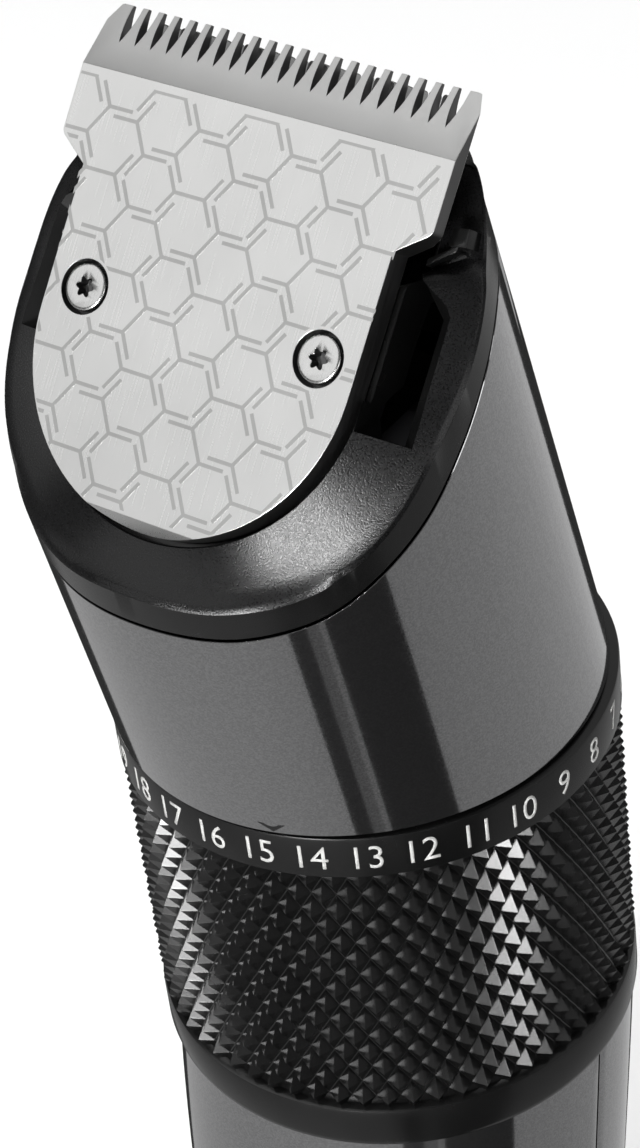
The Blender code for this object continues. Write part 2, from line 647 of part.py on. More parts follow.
# ---- motor and drive ----------------------------------------------------------------
def motor_group(steel, plastic, brass, rubber):
    axis = at(0, DIAL_Y, DIAL_TOP)
    bottom = MOTOR_TOP - MOTOR_LENGTH
    bore = SHAFT_RADIUS + AIR
    edge = MOTOR_RADIUS - MOTOR_CHAMFER
    boss = MOTOR_TOP + BOSS_HEIGHT
    turned("motor_can", [(edge, bottom), (MOTOR_RADIUS, bottom + MOTOR_CHAMFER),
                         (MOTOR_RADIUS, MOTOR_TOP - MOTOR_CHAMFER), (edge, MOTOR_TOP),
                         (BOSS_RADIUS, MOTOR_TOP), (BOSS_RADIUS, boss), (bore, boss),
                         (bore, MOTOR_TOP - 4 * BOSS_HEIGHT)], steel, axis, INNER_ROUND)
    bell = bottom - AIR
    turned("motor_end_bell", [(edge - MOTOR_CHAMFER, bell - BELL_HEIGHT),
                              (edge, bell - BELL_HEIGHT + MOTOR_CHAMFER), (edge, bell)],
           plastic, axis, INNER_ROUND)
    wide, thick, long = TERMINAL_SIZE
    top = bell - BELL_HEIGHT - AIR
    for name, x in (("motor_terminal_left", -TERMINAL_X), ("motor_terminal_right", TERMINAL_X)):
        block(name, (x - wide / 2, wide, top - long), (x + wide / 2, wide + thick, top), brass,
              axis)
    hub_floor = CAM_Z + CAM_HEIGHT - 1.5
    turned("motor_shaft", [(SHAFT_RADIUS, MOTOR_TOP - 3 * BOSS_HEIGHT),
                           (SHAFT_RADIUS, hub_floor - RUN)], steel, axis)
    hub = turned("eccentric_cam", [(bore, hub_floor), (bore, CAM_Z), (CAM_RADIUS, CAM_Z),
                                   (CAM_RADIUS, CAM_Z + CAM_HEIGHT)], plastic, axis)
    pin = turned("cam_pin_shape", [(CAM_PIN_RADIUS, hub_floor + 0.5),
                                   (CAM_PIN_RADIUS, CAM_PIN_TOP)],
                 None, at(0, DIAL_Y + ECCENTRIC, DIAL_TOP), 16)
    boolean(hub, pin, "UNION")
    motor_cradle(plastic)
    seat = MOTOR_TOP + AIR
    head = seat + CRADLE_PLATE + AIR
    head_radius, head_height = MOTOR_SCREW_HEAD
    for name, x in (("motor_screw_left", -MOTOR_SCREW_X), ("motor_screw_right", MOTOR_SCREW_X)):
        turned(name, [(MOTOR_SCREW_RADIUS, seat), (MOTOR_SCREW_RADIUS, head),
                      (head_radius, head), (head_radius, head + head_height)],
               steel, at(x, DIAL_Y, DIAL_TOP), 16)
    low = head + head_height + AIR
    lip_radius, lip = SEAL_LIP
    rim = MOTOR_RADIUS + RUN
    turned_ring("drive_seal", [(SEAL_INNER_RADIUS, low), (rim, low), (rim, low + 1.0),
                               (lip_radius, low + 1.0 + lip),
                               (SEAL_INNER_RADIUS, low + 1.0 + lip)], rubber, axis,
                INNER_ROUND)


def neck_room(low, high):
    """The room inside the upper shell, a gap away from its wall."""
    angles = [2 * pi * i / ROUND for i in range(ROUND)]
    return capped_solid("neck_room", [[cone_point(angle, z, SHELL_WALL + AIR)
                                       for angle in angles] for z in (low, high)], None)


def motor_cradle(plastic):
    """A bridge that stands on the chassis flange and holds the motor by its front face.

    Its corners are trimmed to the room inside the shell.
    """
    axis = at(0, DIAL_Y, DIAL_TOP)
    foot = FLANGE_HEIGHT + 2 * PART_GAP + GLIDE_THICKNESS + 2 * AIR
    seat = MOTOR_TOP + AIR
    top = seat + CRADLE_PLATE
    inner = MOTOR_RADIUS + AIR
    back = inner + CRADLE_BACK_LEG
    front = -inner - CRADLE_PLATE
    outline = [(front, foot), (-inner, foot), (-inner, seat), (inner, seat), (inner, foot),
               (back, foot), (back, top), (front, top)]
    cradle = side_profile("motor_cradle", outline, -CRADLE_HALF_WIDTH, CRADLE_HALF_WIDTH,
                          plastic, axis)
    boolean(cradle, neck_room(0, 2 * top), "INTERSECT")
    hole = BOSS_RADIUS + AIR
    cut(cradle, turned("cradle_boss_cutter", [(hole, seat - 1), (hole, top + 1)], None, axis))
    hole = MOTOR_SCREW_RADIUS + AIR
    for side in (-1, 1):
        cut(cradle, turned(f"cradle_screw_cutter_{side}", [(hole, seat - 1), (hole, top + 1)],
                           None, at(side * MOTOR_SCREW_X, DIAL_Y, DIAL_TOP), 16))


# ---- dial, chassis and comb carriage ------------------------------------------------
def follower_span():
    """Lowest and highest follower height, from the dial's top edge."""
    return (FOLLOWER_Z - CLICKS_DOWN * LIFT_PER_CLICK, FOLLOWER_Z + CLICKS_UP * LIFT_PER_CLICK)


def chassis_tube(plastic):
    axis = at(0, DIAL_Y, DIAL_TOP)
    flange_low = PART_GAP + GLIDE_THICKNESS + AIR
    flange_high = flange_low + FLANGE_HEIGHT
    low = -DIAL_HEIGHT - TUBE_BELOW_DIAL
    tube = turned_ring("chassis_tube", [(TUBE_RADIUS, low), (TUBE_RADIUS, flange_low),
                                        (TUBE_RADIUS + FLANGE_WIDTH, flange_low),
                                        (TUBE_RADIUS + FLANGE_WIDTH, flange_high),
                                        (BAY_RADIUS, flange_high), (BAY_RADIUS, low)],
                       plastic, axis)
    lowest, highest = follower_span()
    reach = FOLLOWER_RADIUS + RUN
    slot = block("follower_slot_cutter", (-reach, BAY_RADIUS - 2, lowest - reach),
                 (reach, TUBE_RADIUS + 1, highest + reach), None, axis)
    ball_hole = turned("ball_hole_cutter", [(DETENT_HOLE, -2 * TUBE_WALL),
                                            (DETENT_HOLE, 2 * TUBE_WALL)], None,
                       at(-TUBE_RADIUS, DIAL_Y, DIAL_BOTTOM + DETENT_LEVEL,
                          Matrix.Rotation(pi / 2, 4, "Y")), 16)
    cut(tube, slot, ball_hole)


def dial_groove():
    """The helical groove in the dial's bore, as a solid to cut away."""
    half = FOLLOWER_RADIUS + AIR
    inner = DIAL_BORE - 0.5
    outer = DIAL_BORE + GROOVE_DEPTH
    start = pi / 2 - CLICKS_UP * CLICK - GROOVE_MARGIN
    end = pi / 2 + CLICKS_DOWN * CLICK + GROOVE_MARGIN
    steps = ceil((end - start) / radians(6))
    loops = []
    for i in range(steps + 1):
        a = start + (end - start) * i / steps
        z = FOLLOWER_Z + (pi / 2 - a) / CLICK * LIFT_PER_CLICK
        loops.append([(r * cos(a), r * sin(a), z + dz)
                      for r, dz in ((inner, -half), (outer, -half), (outer, half),
                                    (inner, half))])
    return capped_solid("dial_groove_cutter", loops, None, at(0, DIAL_Y, DIAL_TOP))


def length_dial(plastic):
    knurl_top = -BAND_HEIGHT
    collar_top = -DIAL_HEIGHT + COLLAR_HEIGHT
    profile = [(DIAL_BORE, -DIAL_HEIGHT), (COLLAR_RADIUS - 0.6, -DIAL_HEIGHT),
               (COLLAR_RADIUS - 0.2, -DIAL_HEIGHT + 0.7), (COLLAR_RADIUS, -DIAL_HEIGHT + 1.8),
               (COLLAR_RADIUS, collar_top), (KNURL_RADIUS, collar_top + 0.3),
               (KNURL_RADIUS, knurl_top - 0.2), (DIAL_RADIUS, knurl_top),
               (DIAL_RADIUS, -0.25), (DIAL_RADIUS - 0.25, 0), (DIAL_BORE, 0)]
    dial = turned_ring("length_dial", profile, plastic, at(0, DIAL_Y, DIAL_TOP), DIAL_SIDES)
    cut(dial, dial_groove())


def dial_rings(steel, nylon):
    axis = at(0, DIAL_Y, DIAL_TOP)
    inner = TUBE_RADIUS + AIR
    outer = TUBE_RADIUS + FLANGE_WIDTH
    for name, low in (("upper_glide_ring", PART_GAP),
                      ("lower_glide_ring", -DIAL_HEIGHT - PART_GAP - GLIDE_THICKNESS)):
        turned_ring(name, [(inner, low), (outer, low), (outer, low + GLIDE_THICKNESS),
                           (inner, low + GLIDE_THICKNESS)], nylon, axis, INNER_ROUND)
    top = -DIAL_HEIGHT - PART_GAP - GLIDE_THICKNESS - AIR
    low = top - RETAINER_HEIGHT
    turned_ring("dial_retainer_ring", [(inner, low), (outer, low), (outer, top),
                                       (inner, top)], steel, axis, INNER_ROUND)


def detent(steel):
    """The click ball and its spring, drawn pushed in so that the dial clears the ball."""
    level = DIAL_BOTTOM + DETENT_LEVEL
    ball_x = -(DIAL_BORE - RUN / 2 - DETENT_RADIUS)
    profile = [(DETENT_RADIUS * sin(pi * k / 8), -DETENT_RADIUS * cos(pi * k / 8))
               for k in range(1, 8)]
    turned("detent_ball", profile, steel, at(ball_x, DIAL_Y, level), 16)
    radius, length = DETENT_SPRING
    turned("detent_spring", [(radius, 0), (radius, length)], steel,
           at(ball_x + DETENT_RADIUS + AIR, DIAL_Y, level, Matrix.Rotation(pi / 2, 4, "Y")), 16)


def carriage_arm(side, axis):
    """An upright beside the motor with a foot that reaches forward to the post."""
    near, far = sorted((side * ARM_INNER, side * ARM_OUTER))
    elbow = KNEE_Z + 4.0
    front = POST_Y[0] - 0.1
    outline = [(-ARM_DEPTH, FOLLOWER_Z - 1), (0, FOLLOWER_Z - 1), (0, KNEE_Z + 1),
               (-3.0, elbow), (front, elbow), (front, KNEE_Z), (-ARM_DEPTH, KNEE_Z)]
    return side_profile(f"carriage_arm_shape_{side}", outline, near, far, None, axis)


def carriage_post(side, axis):
    """A post under the window; beside the blade carrier it is narrower."""
    inside, outside = ARM_INNER + 0.2, WINDOW_OUTER_U - 2 * RUN
    beside = TONGUE_HALF_WIDTH - LEDGE_WIDTH + RUN
    low, step = KNEE_Z + 0.2, KNEE_Z + 3.8
    outline = [(inside, low), (outside, low), (outside, POST_TOP), (beside, POST_TOP),
               (beside, step), (inside, step)]
    return capped_solid(f"carriage_post_shape_{side}",
                        [[(side * x, y, z) for x, z in outline] for y in POST_Y], None, axis)


def comb_carriage(plastic, steel):
    """A lifting disc below the motor with two arms that reach the head's side windows."""
    axis = at(0, DIAL_Y, DIAL_TOP)
    rim = BAY_RADIUS - 1.5 * RUN
    low, high = FOLLOWER_Z - DISC_HALF_HEIGHT, FOLLOWER_Z + DISC_HALF_HEIGHT
    disc = turned_ring("comb_carriage", [(DISC_BORE, low), (rim, low), (rim, high),
                                         (DISC_BORE, high)], plastic, axis)
    for side in (-1, 1):
        boolean(disc, carriage_arm(side, axis), "UNION")
        boolean(disc, carriage_post(side, axis), "UNION")
    backwards = Matrix.Rotation(-pi / 2, 4, "X")
    hole = FOLLOWER_RADIUS + AIR
    cut(disc, turned("pin_seat_cutter", [(hole, 0), (hole, 2 * FOLLOWER_HELD)], None,
                     at(0, DIAL_Y + rim - FOLLOWER_HELD - RUN, DIAL_TOP + FOLLOWER_Z,
                        backwards), 20))
    length = DIAL_BORE + GROOVE_DEPTH - AIR - rim + FOLLOWER_HELD
    turned("cam_follower_pin", [(FOLLOWER_RADIUS, 0), (FOLLOWER_RADIUS, length)], steel,
           at(0, DIAL_Y + rim - FOLLOWER_HELD, DIAL_TOP + FOLLOWER_Z, backwards), 20)


# ---- handle -------------------------------------------------------------------------
def handle_half(name, front, paint):
    """Half of the handle's tube; the joint line runs up both sides."""
    sides, levels = 30, 7
    low = TAIL_CAP_HEIGHT + GASKET_HEIGHT + 2 * GASKET_AIR
    high = DIAL_BOTTOM - PART_GAP
    lean = AIR / 2 / TAIL_HALF_DEPTH
    start, end = (pi + lean, 2 * pi - lean) if front else (lean, pi - lean)
    loops = []
    for k in range(levels + 1):
        z = low + (high - low) * k / levels
        loops.append(handle_arc(z, 0, start, end, sides)
                     + handle_arc(z, HANDLE_WALL, end, start, sides))
    return capped_solid(name, loops, paint)


def facing_front(z, depth):
    """Placement whose local XY is an upright front view and whose local Z points back."""
    return at(0, depth, z, Matrix.Rotation(-pi / 2, 4, "X"))


def front_fittings(front, chrome, plastic, clear):
    """Power button, its bezel and the charge light, following the handle's surface."""
    ahead = handle_front(BUTTON_Z) - FRONT_REACH
    inside = handle_front(BUTTON_Z) + HANDLE_WALL + 2 * AIR
    w, h = BUTTON_HALF
    ring_w, ring_h = w + AIR + BEZEL_WIDTH, h + AIR + BEZEL_WIDTH
    place = facing_front(BUTTON_Z, 0)
    cut(front, prism("bezel_hole_cutter", oval(ring_w + AIR, ring_h + AIR), ahead,
                     inside + FRONT_REACH, None, place))
    low, high = BUTTON_Z - 2 * h, BUTTON_Z + 2 * h
    bezel = prism("button_bezel", oval(ring_w, ring_h), ahead, inside, chrome, place)
    boolean(bezel, handle_envelope("bezel_envelope", BEZEL_PROUD, low, high), "INTERSECT")
    cut(bezel, prism("bezel_bore_cutter", oval(w + AIR, h + AIR), ahead - 1, inside + 1,
                     None, place))
    switch_face = board_face() - AIR - SWITCH_HEIGHTS[1]
    button = prism("power_button", oval(w, h), ahead, switch_face - BUTTON_TRAVEL - AIR,
                   plastic, place)
    boolean(button, handle_envelope("button_envelope", BUTTON_PROUD, low, high), "INTERSECT")
    place = facing_front(LIGHT_Z, 0)
    w, h = LIGHT_HALF
    ahead = handle_front(LIGHT_Z) - FRONT_REACH
    inside = handle_front(LIGHT_Z) + HANDLE_WALL + 1.0
    cut(front, prism("light_hole_cutter", oval(w + AIR, h + AIR), ahead,
                     inside + FRONT_REACH, None, place))
    light = prism("charge_light_window", oval(w, h), ahead, inside, clear, place)
    low, high = LIGHT_Z - 3 * h, LIGHT_Z + 3 * h
    boolean(light, handle_envelope("light_envelope", 0.05, low, high), "INTERSECT")


def board_face():
    """Front face of the circuit board."""
    return handle_centre(BUTTON_Z) - BOARD_SET_BACK


def electrics(steel, copper, board_green, plastic):
    face = board_face()
    back = face + BOARD_THICKNESS
    low = TAIL_CAP_HEIGHT + SOCKET_DEPTH
    block("circuit_board", (-BOARD_HALF_WIDTH, face, low),
          (BOARD_HALF_WIDTH, back, BUTTON_Z + BOARD_ABOVE_BUTTON), board_green)
    body, plunger = SWITCH_HEIGHTS
    turned("push_switch", [(SWITCH_RADIUS, 0), (SWITCH_RADIUS, body),
                           (SWITCH_PLUNGER_RADIUS, body), (SWITCH_PLUNGER_RADIUS, plunger)],
           plastic, at(0, face - AIR, BUTTON_Z, Matrix.Rotation(pi / 2, 4, "X")))
    centre_y = back + BATTERY_HOLDER + BATTERY_RADIUS
    top = BATTERY_Z + BATTERY_LENGTH
    shoulder = top - CELL_CAP_HEIGHT
    turned("battery_cell", [(BATTERY_RADIUS - 0.4, BATTERY_Z), (BATTERY_RADIUS, BATTERY_Z + 0.5),
                            (BATTERY_RADIUS, shoulder - 0.6), (BATTERY_RADIUS - 0.8, shoulder),
                            (CELL_CAP_RADIUS, shoulder), (CELL_CAP_RADIUS, top)], steel,
           at(0, centre_y, 0), 32)
    for name, z in (("battery_tab_lower", BATTERY_Z - AIR - TAB_THICKNESS),
                    ("battery_tab_upper", top + AIR)):
        block(name, (-TAB_HALF_WIDTH, back + AIR, z),
              (TAB_HALF_WIDTH, centre_y + CELL_CAP_RADIUS, z + TAB_THICKNESS), copper)


def tail(plastic, rubber, steel):
    turns = [radians(90 * k / 3) for k in range(4)]
    loops = [handle_loop(TAIL_ROUND - TAIL_ROUND * cos(a), TAIL_ROUND - TAIL_ROUND * sin(a))
             for a in turns]
    loops.append(handle_loop(TAIL_CAP_HEIGHT, 0))
    cap = capped_solid("tail_cap", loops, plastic)
    w, d = SOCKET_HALF
    place = at(0, SOCKET_Y, 0)
    cut(cap, prism("socket_hole_cutter", oval(w + AIR, d + AIR, power=4), -1,
                   TAIL_CAP_HEIGHT + 1, None, place))
    low = TAIL_CAP_HEIGHT + GASKET_AIR
    high = low + GASKET_HEIGHT
    gasket = [handle_loop(low, GASKET_INSET), handle_loop(high, GASKET_INSET),
              handle_loop(high, HANDLE_WALL), handle_loop(low, HANDLE_WALL)]
    ring_solid("tail_gasket", gasket, rubber)
    top = SOCKET_LOW + SOCKET_DEPTH
    socket = prism("charge_socket", oval(w, d, power=4), SOCKET_LOW, top, steel, place)
    cut(socket, prism("socket_mouth_cutter", oval(w - SOCKET_WALL, d - SOCKET_WALL, power=4),
                      -1, top - SOCKET_BACK_WALL, None, place))
    shank, head, head_low, head_high = TAIL_SCREW
    for name, x in (("tail_screw_left", -TAIL_SCREW_X), ("tail_screw_right", TAIL_SCREW_X)):
        place = at(x, 0, 0)
        cut(cap, turned(f"{name}_cutter", [(shank + AIR, 1), (shank + AIR, TAIL_CAP_HEIGHT + 1)],
                        None, place, 20),
            turned(f"{name}_head_cutter", [(head + AIR, -1), (head + AIR, WELL_DEPTH)], None,
                   place, 24))
        turned(name, [(head, head_low), (head, head_high), (shank, head_high),
                      (shank, TAIL_CAP_HEIGHT + TAIL_SCREW_INTO_HANDLE)], steel, place, 24)


# ---- the whole trimmer --------------------------------------------------------------
def main():
    for old in list(bpy.data.objects):
        bpy.data.objects.remove(old)
    blade_steel = material("blade_steel", (0.75, 0.75, 0.74), 0.32, 1.0)
    spring_steel = material("spring_steel", (0.5, 0.5, 0.5), 0.35, 1.0)
    black_frame = material("black_frame", (0.012, 0.012, 0.013), 0.5)
    black_dial = material("black_dial", (0.015, 0.015, 0.016), 0.42)
    gunmetal = material("gunmetal_paint", (0.11, 0.11, 0.115), 0.3, 0.7)
    inner_plastic = material("inner_plastic", (0.05, 0.05, 0.055), 0.6)
    nylon = material("nylon", (0.75, 0.75, 0.72), 0.5)
    rubber = material("rubber", (0.02, 0.02, 0.02), 0.85)
    brass = material("brass", (0.72, 0.5, 0.2), 0.35, 1.0)
    chrome = material("chrome", (0.8, 0.8, 0.8), 0.12, 1.0)
    board = material("circuit_board", (0.02, 0.16, 0.06), 0.5)
    light = material("light_window", (0.85, 0.88, 0.9), 0.2)

    fixed_blade(blade_steel)
    blade_screw("blade_screw_left", -1, blade_steel)
    blade_screw("blade_screw_right", 1, blade_steel)
    moving_blade(blade_steel)
    blade_carrier(inner_plastic)
    cutter_yoke(nylon)
    blade_spring(spring_steel)
    head_frame(black_frame)
    upper_shell(gunmetal)
    motor_group(spring_steel, inner_plastic, brass, rubber)
    chassis_tube(inner_plastic)
    length_dial(black_dial)
    dial_rings(spring_steel, nylon)
    detent(spring_steel)
    comb_carriage(inner_plastic, spring_steel)
    front = handle_half("front_handle_shell", True, gunmetal)
    handle_half("rear_handle_shell", False, gunmetal)
    front_fittings(front, chrome, black_dial, light)
    electrics(spring_steel, brass, board, inner_plastic)
    tail(black_frame, rubber, spring_steel)


main()
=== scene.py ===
# %% [markdown]
# # A cordless beard trimmer
# A steel comb blade sits on a black head that leans forward over a round neck. Below it a knurled
# ring with numbers sets the length, and a metallic handle holds the battery.
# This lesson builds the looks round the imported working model, which holds every place and size.

# %% Load the working model
import json
from math import atan2, cos, hypot, pi, radians, sin, sqrt, tan

import bmesh
import bpy
from mathutils import Matrix, Vector


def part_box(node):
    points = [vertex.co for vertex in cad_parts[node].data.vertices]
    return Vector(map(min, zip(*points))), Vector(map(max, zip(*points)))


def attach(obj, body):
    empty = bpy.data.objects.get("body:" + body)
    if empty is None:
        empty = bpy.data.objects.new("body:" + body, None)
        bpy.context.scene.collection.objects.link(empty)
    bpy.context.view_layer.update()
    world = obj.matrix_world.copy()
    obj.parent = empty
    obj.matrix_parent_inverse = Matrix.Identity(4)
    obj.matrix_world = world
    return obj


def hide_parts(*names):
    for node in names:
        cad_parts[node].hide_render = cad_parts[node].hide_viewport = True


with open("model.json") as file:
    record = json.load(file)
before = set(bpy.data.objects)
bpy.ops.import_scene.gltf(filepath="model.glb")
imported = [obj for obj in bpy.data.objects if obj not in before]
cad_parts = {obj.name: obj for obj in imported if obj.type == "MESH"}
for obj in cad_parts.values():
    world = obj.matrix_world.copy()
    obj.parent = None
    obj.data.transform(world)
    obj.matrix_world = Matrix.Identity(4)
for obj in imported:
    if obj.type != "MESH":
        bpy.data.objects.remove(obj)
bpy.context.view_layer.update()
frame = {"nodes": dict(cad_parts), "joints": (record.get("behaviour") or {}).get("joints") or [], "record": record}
MM = 0.001

# %% [markdown]
# ## Places
# Every place comes from the working model: the dial's axis from its joint, the dial's height from
# its box. The blade has its own frame, with u across, v along the teeth and h out of the plate,
# because the plate, its screws and its engraving are all flat in that frame.

# %% Driving places and sizes, in millimetres
AIR = 0.3
dial_joint = next(j for j in frame["joints"] if j["name"] == "dial_turn")
dial_low, dial_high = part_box("length_dial")
DIAL_Y = dial_joint["pos_m"][1] / MM
DIAL_TOP = dial_high.z / MM
DIAL_BOTTOM = dial_low.z / MM
DIAL_RADIUS = 20.4
HEAD_LEAN = radians(12.67)
SHELL_RADIUS = 19.77
SHELL_TAPER = 0.0186
SHELL_SET_BACK = -0.35
BLADE_TILT = radians(40.69)
BLADE_Y = -13.42
BLADE_Z = 41.20
HANDLE_BEND = 0.1455
print("dial axis at y =", round(DIAL_Y, 2), "and dial top at z =", round(DIAL_TOP, 2))


# %% Points on the leaning cone of the head and in the blade's frame
def cone_point(turn, height, inset=0.0):
    """Turn from the front towards +X, height above the dial."""
    radius = SHELL_RADIUS - SHELL_TAPER * height - inset
    axis_y = DIAL_Y + SHELL_SET_BACK - height * tan(HEAD_LEAN)
    ahead = radius * cos(turn) / cos(HEAD_LEAN)
    return Vector((radius * sin(turn), axis_y - ahead, DIAL_TOP + height))


def cone_turn(point):
    axis_y = DIAL_Y + SHELL_SET_BACK - (point[2] - DIAL_TOP) * tan(HEAD_LEAN)
    return atan2(point[0], (axis_y - point[1]) * cos(HEAD_LEAN))


def blade_point(u, v, h):
    y = DIAL_Y + BLADE_Y + v * sin(BLADE_TILT) - h * cos(BLADE_TILT)
    z = DIAL_TOP + BLADE_Z + v * cos(BLADE_TILT) + h * sin(BLADE_TILT)
    return Vector((u, y, z))


def blade_frame(u=0.0, v=0.0, h=0.0):
    """Placement whose local X, Y and Z are the blade's u, v and h, in metres."""
    turn = Matrix.Rotation(pi / 2 - BLADE_TILT, 4, "X")
    return Matrix.Translation(blade_point(u, v, h) * MM) @ turn


print("screw line at", [round(c, 2) for c in blade_point(0, 0, 0)])


# %% [markdown]
# ## Mesh helpers
# Most shells of a moulded product are loops of points joined by quads, so one helper bridges
# loops and closes the ends. A bevel modifier then gives each hard edge the small radius that
# catches the light, and the result is baked into a plain mesh.

# %% Helpers that turn loops and outlines into closed pieces
def in_scene(name, data):
    thing = bpy.data.objects.new(name, data)
    bpy.context.scene.collection.objects.link(thing)
    return thing


def finished_mesh(name, shape):
    """A mesh from a bmesh, which is then let go."""
    mesh = bpy.data.meshes.new(name)
    shape.to_mesh(mesh)
    shape.free()
    return mesh


def shade(mesh, degrees):
    """Smooth shading, with a hard edge where faces meet at more than this."""
    mesh.shade_smooth()
    mesh.set_sharp_from_angle(angle=radians(degrees))


def mirrored(outline, side):
    return [(side * x, y) for x, y in outline]


def bridge(loops, closed):
    size = len(loops[0])
    faces = []
    for k in range(len(loops) if closed else len(loops) - 1):
        low, high = k * size, (k + 1) % len(loops) * size
        for i in range(size):
            j = (i + 1) % size
            faces.append((low + i, low + j, high + j, high + i))
    return [point for loop in loops for point in loop], faces


def new_piece(name, vertices, faces, finishes, place=None, sharp=35, slots=None):
    """A mesh object from points in millimetres; its place is applied to its mesh."""
    shape = bmesh.new()
    points = [shape.verts.new(Vector(v) * MM) for v in vertices]
    made = [shape.faces.new([points[i] for i in face]) for face in faces]
    if slots:
        for face, slot in zip(made, slots):
            face.material_index = slot
    bmesh.ops.recalc_face_normals(shape, faces=shape.faces)
    if place is not None:
        bmesh.ops.transform(shape, matrix=place, verts=shape.verts)
    mesh = finished_mesh(name, shape)
    for finish in finishes if isinstance(finishes, (list, tuple)) else [finishes]:
        mesh.materials.append(finish)
    shade(mesh, sharp)
    return in_scene(name, mesh)


def ring_piece(name, loops, finishes, **more):
    return new_piece(name, *bridge(loops, True), finishes, **more)


def capped_piece(name, loops, finishes, **more):
    vertices, faces = bridge(loops, False)
    size = len(loops[0])
    faces.append(tuple(range(size)))
    faces.append(tuple(range((len(loops) - 1) * size, len(loops) * size)))
    return new_piece(name, vertices, faces, finishes, **more)


def prism(name, outline, low, high, finishes, **more):
    return capped_piece(name, [[(x, y, z) for x, y in outline] for z in (low, high)], finishes,
                        **more)


def side_profile(name, outline, left, right, finishes, **more):
    return capped_piece(name, [[(x, y, z) for y, z in outline] for x in (left, right)],
                        finishes, **more)


def circle(radius, z, sides):
    return [(radius * cos(2 * pi * i / sides), radius * sin(2 * pi * i / sides), z)
            for i in range(sides)]


def turned(name, profile, finishes, sides=64, closed=False, **more):
    """A profile of (radius, z) turned about Z; closed profiles stay off the axis."""
    loops = [circle(r, z, sides) for r, z in profile]
    maker = ring_piece if closed else capped_piece
    return maker(name, loops, finishes, **more)


def settle(piece):
    """Bake a piece's modifiers into a plain mesh."""
    graph = bpy.context.evaluated_depsgraph_get()
    baked = bpy.data.meshes.new_from_object(piece.evaluated_get(graph))
    piece.modifiers.clear()
    piece.data = baked
    return piece


def cut(piece, *cutters, operation="DIFFERENCE", crossing=False):
    """Cut, join or trim a piece by others; crossing is for a piece that crosses itself."""
    for cutter in cutters:
        step = piece.modifiers.new("cut", "BOOLEAN")
        step.operation = operation
        step.object = cutter
        step.solver = "EXACT"
        step.use_self = crossing
    settle(piece)
    for cutter in cutters:
        bpy.data.objects.remove(cutter)
    return piece


def soften(piece, width, segments=2, angle=30, sharp=None):
    """Round every edge sharper than the angle by a small radius, in millimetres."""
    step = piece.modifiers.new("soften", "BEVEL")
    step.width = width * MM
    step.segments = segments
    step.limit_method = "ANGLE"
    step.angle_limit = radians(angle)
    settle(piece)
    shade(piece.data, sharp or angle)
    return piece


def smooth_between(table, x):
    """Value at x on the smooth curve through a table of (x, value)."""
    for k in range(len(table) - 1):
        (x0, y0), (x1, y1) = table[k], table[k + 1]
        if x <= x1:
            break
    before, after = table[max(k - 1, 0)], table[min(k + 2, len(table) - 1)]
    span = x1 - x0
    slope0 = (y1 - before[1]) / (x1 - before[0]) if k > 0 else 0.0
    slope1 = (after[1] - y0) / (after[0] - x0) if k + 2 < len(table) else 0.0
    t = (x - x0) / span
    return ((2 * t**3 - 3 * t**2 + 1) * y0 + (t**3 - 2 * t**2 + t) * span * slope0
            + (3 * t**2 - 2 * t**3) * y1 + (t**3 - t**2) * span * slope1)


# %% [markdown]
# ## Finishes
# A material starts from what the real one is. Colours are written as sRGB hex values and turned to
# linear in one function, and one function adds a node. Pattern scales are worked out from a size
# in millimetres, since Object coordinates are metres: a grain of g mm has a scale of 1000 / g.

# %% Two helpers for every material
def linear(code):
    channels = [int(code[i:i + 2], 16) / 255 for i in (1, 3, 5)]
    return tuple(c / 12.92 if c <= 0.04045 else ((c + 0.055) / 1.055) ** 2.4
                 for c in channels) + (1.0,)


def add_node(tree, kind, settings=None, links=None):
    node = tree.nodes.new(kind)
    for key, value in (settings or {}).items():
        if isinstance(key, str) and hasattr(node, key):
            setattr(node, key, value)
        else:
            node.inputs[key].default_value = value
    for key, source in (links or {}).items():
        tree.links.new(source, node.inputs[key])
    return node


def drive(shader, socket, source):
    shader.id_data.links.new(source, shader.inputs[socket])


def new_material(name, colour, roughness, metallic=0.0, **sockets):
    finish = bpy.data.materials.new(name)
    finish.use_nodes = True
    tree = finish.node_tree
    shader = tree.nodes["Principled BSDF"]
    shader.inputs["Base Color"].default_value = linear(colour)
    shader.inputs["Roughness"].default_value = roughness
    shader.inputs["Metallic"].default_value = metallic
    for socket, value in sockets.items():
        shader.inputs[socket.replace("_", " ")].default_value = value
    where = add_node(tree, "ShaderNodeTexCoord").outputs["Object"]
    return finish, tree, shader, where


def grain(tree, where, size_mm, detail=2.0, stretch=None, turn=0.0):
    """Noise whose blobs are about size_mm across, stretched along one axis if asked."""
    if stretch:
        mapping = add_node(tree, "ShaderNodeMapping",
                           {"vector_type": "TEXTURE", "Rotation": (turn, 0.0, 0.0),
                            "Scale": stretch}, {"Vector": where})
        where = mapping.outputs["Vector"]
    noise = add_node(tree, "ShaderNodeTexNoise", {"Scale": 1000 / size_mm, "Detail": detail},
                     {"Vector": where})
    return noise.outputs["Fac"]


def ramp(tree, source, low, high, start=0.3, end=0.7):
    """Remap a 0 to 1 signal to the range low to high."""
    node = add_node(tree, "ShaderNodeMapRange",
                    {"From Min": start, "From Max": end, "To Min": low, "To Max": high},
                    {"Value": source})
    return node.outputs["Result"]


def tint(tree, source, dark, light, start=0.3, end=0.7):
    """Colour between two hex values, by a signal."""
    node = add_node(tree, "ShaderNodeValToRGB", {}, {"Fac": source})
    node.color_ramp.elements[0].position = start
    node.color_ramp.elements[0].color = linear(dark)
    node.color_ramp.elements[1].position = end
    node.color_ramp.elements[1].color = linear(light)
    return node.outputs["Color"]


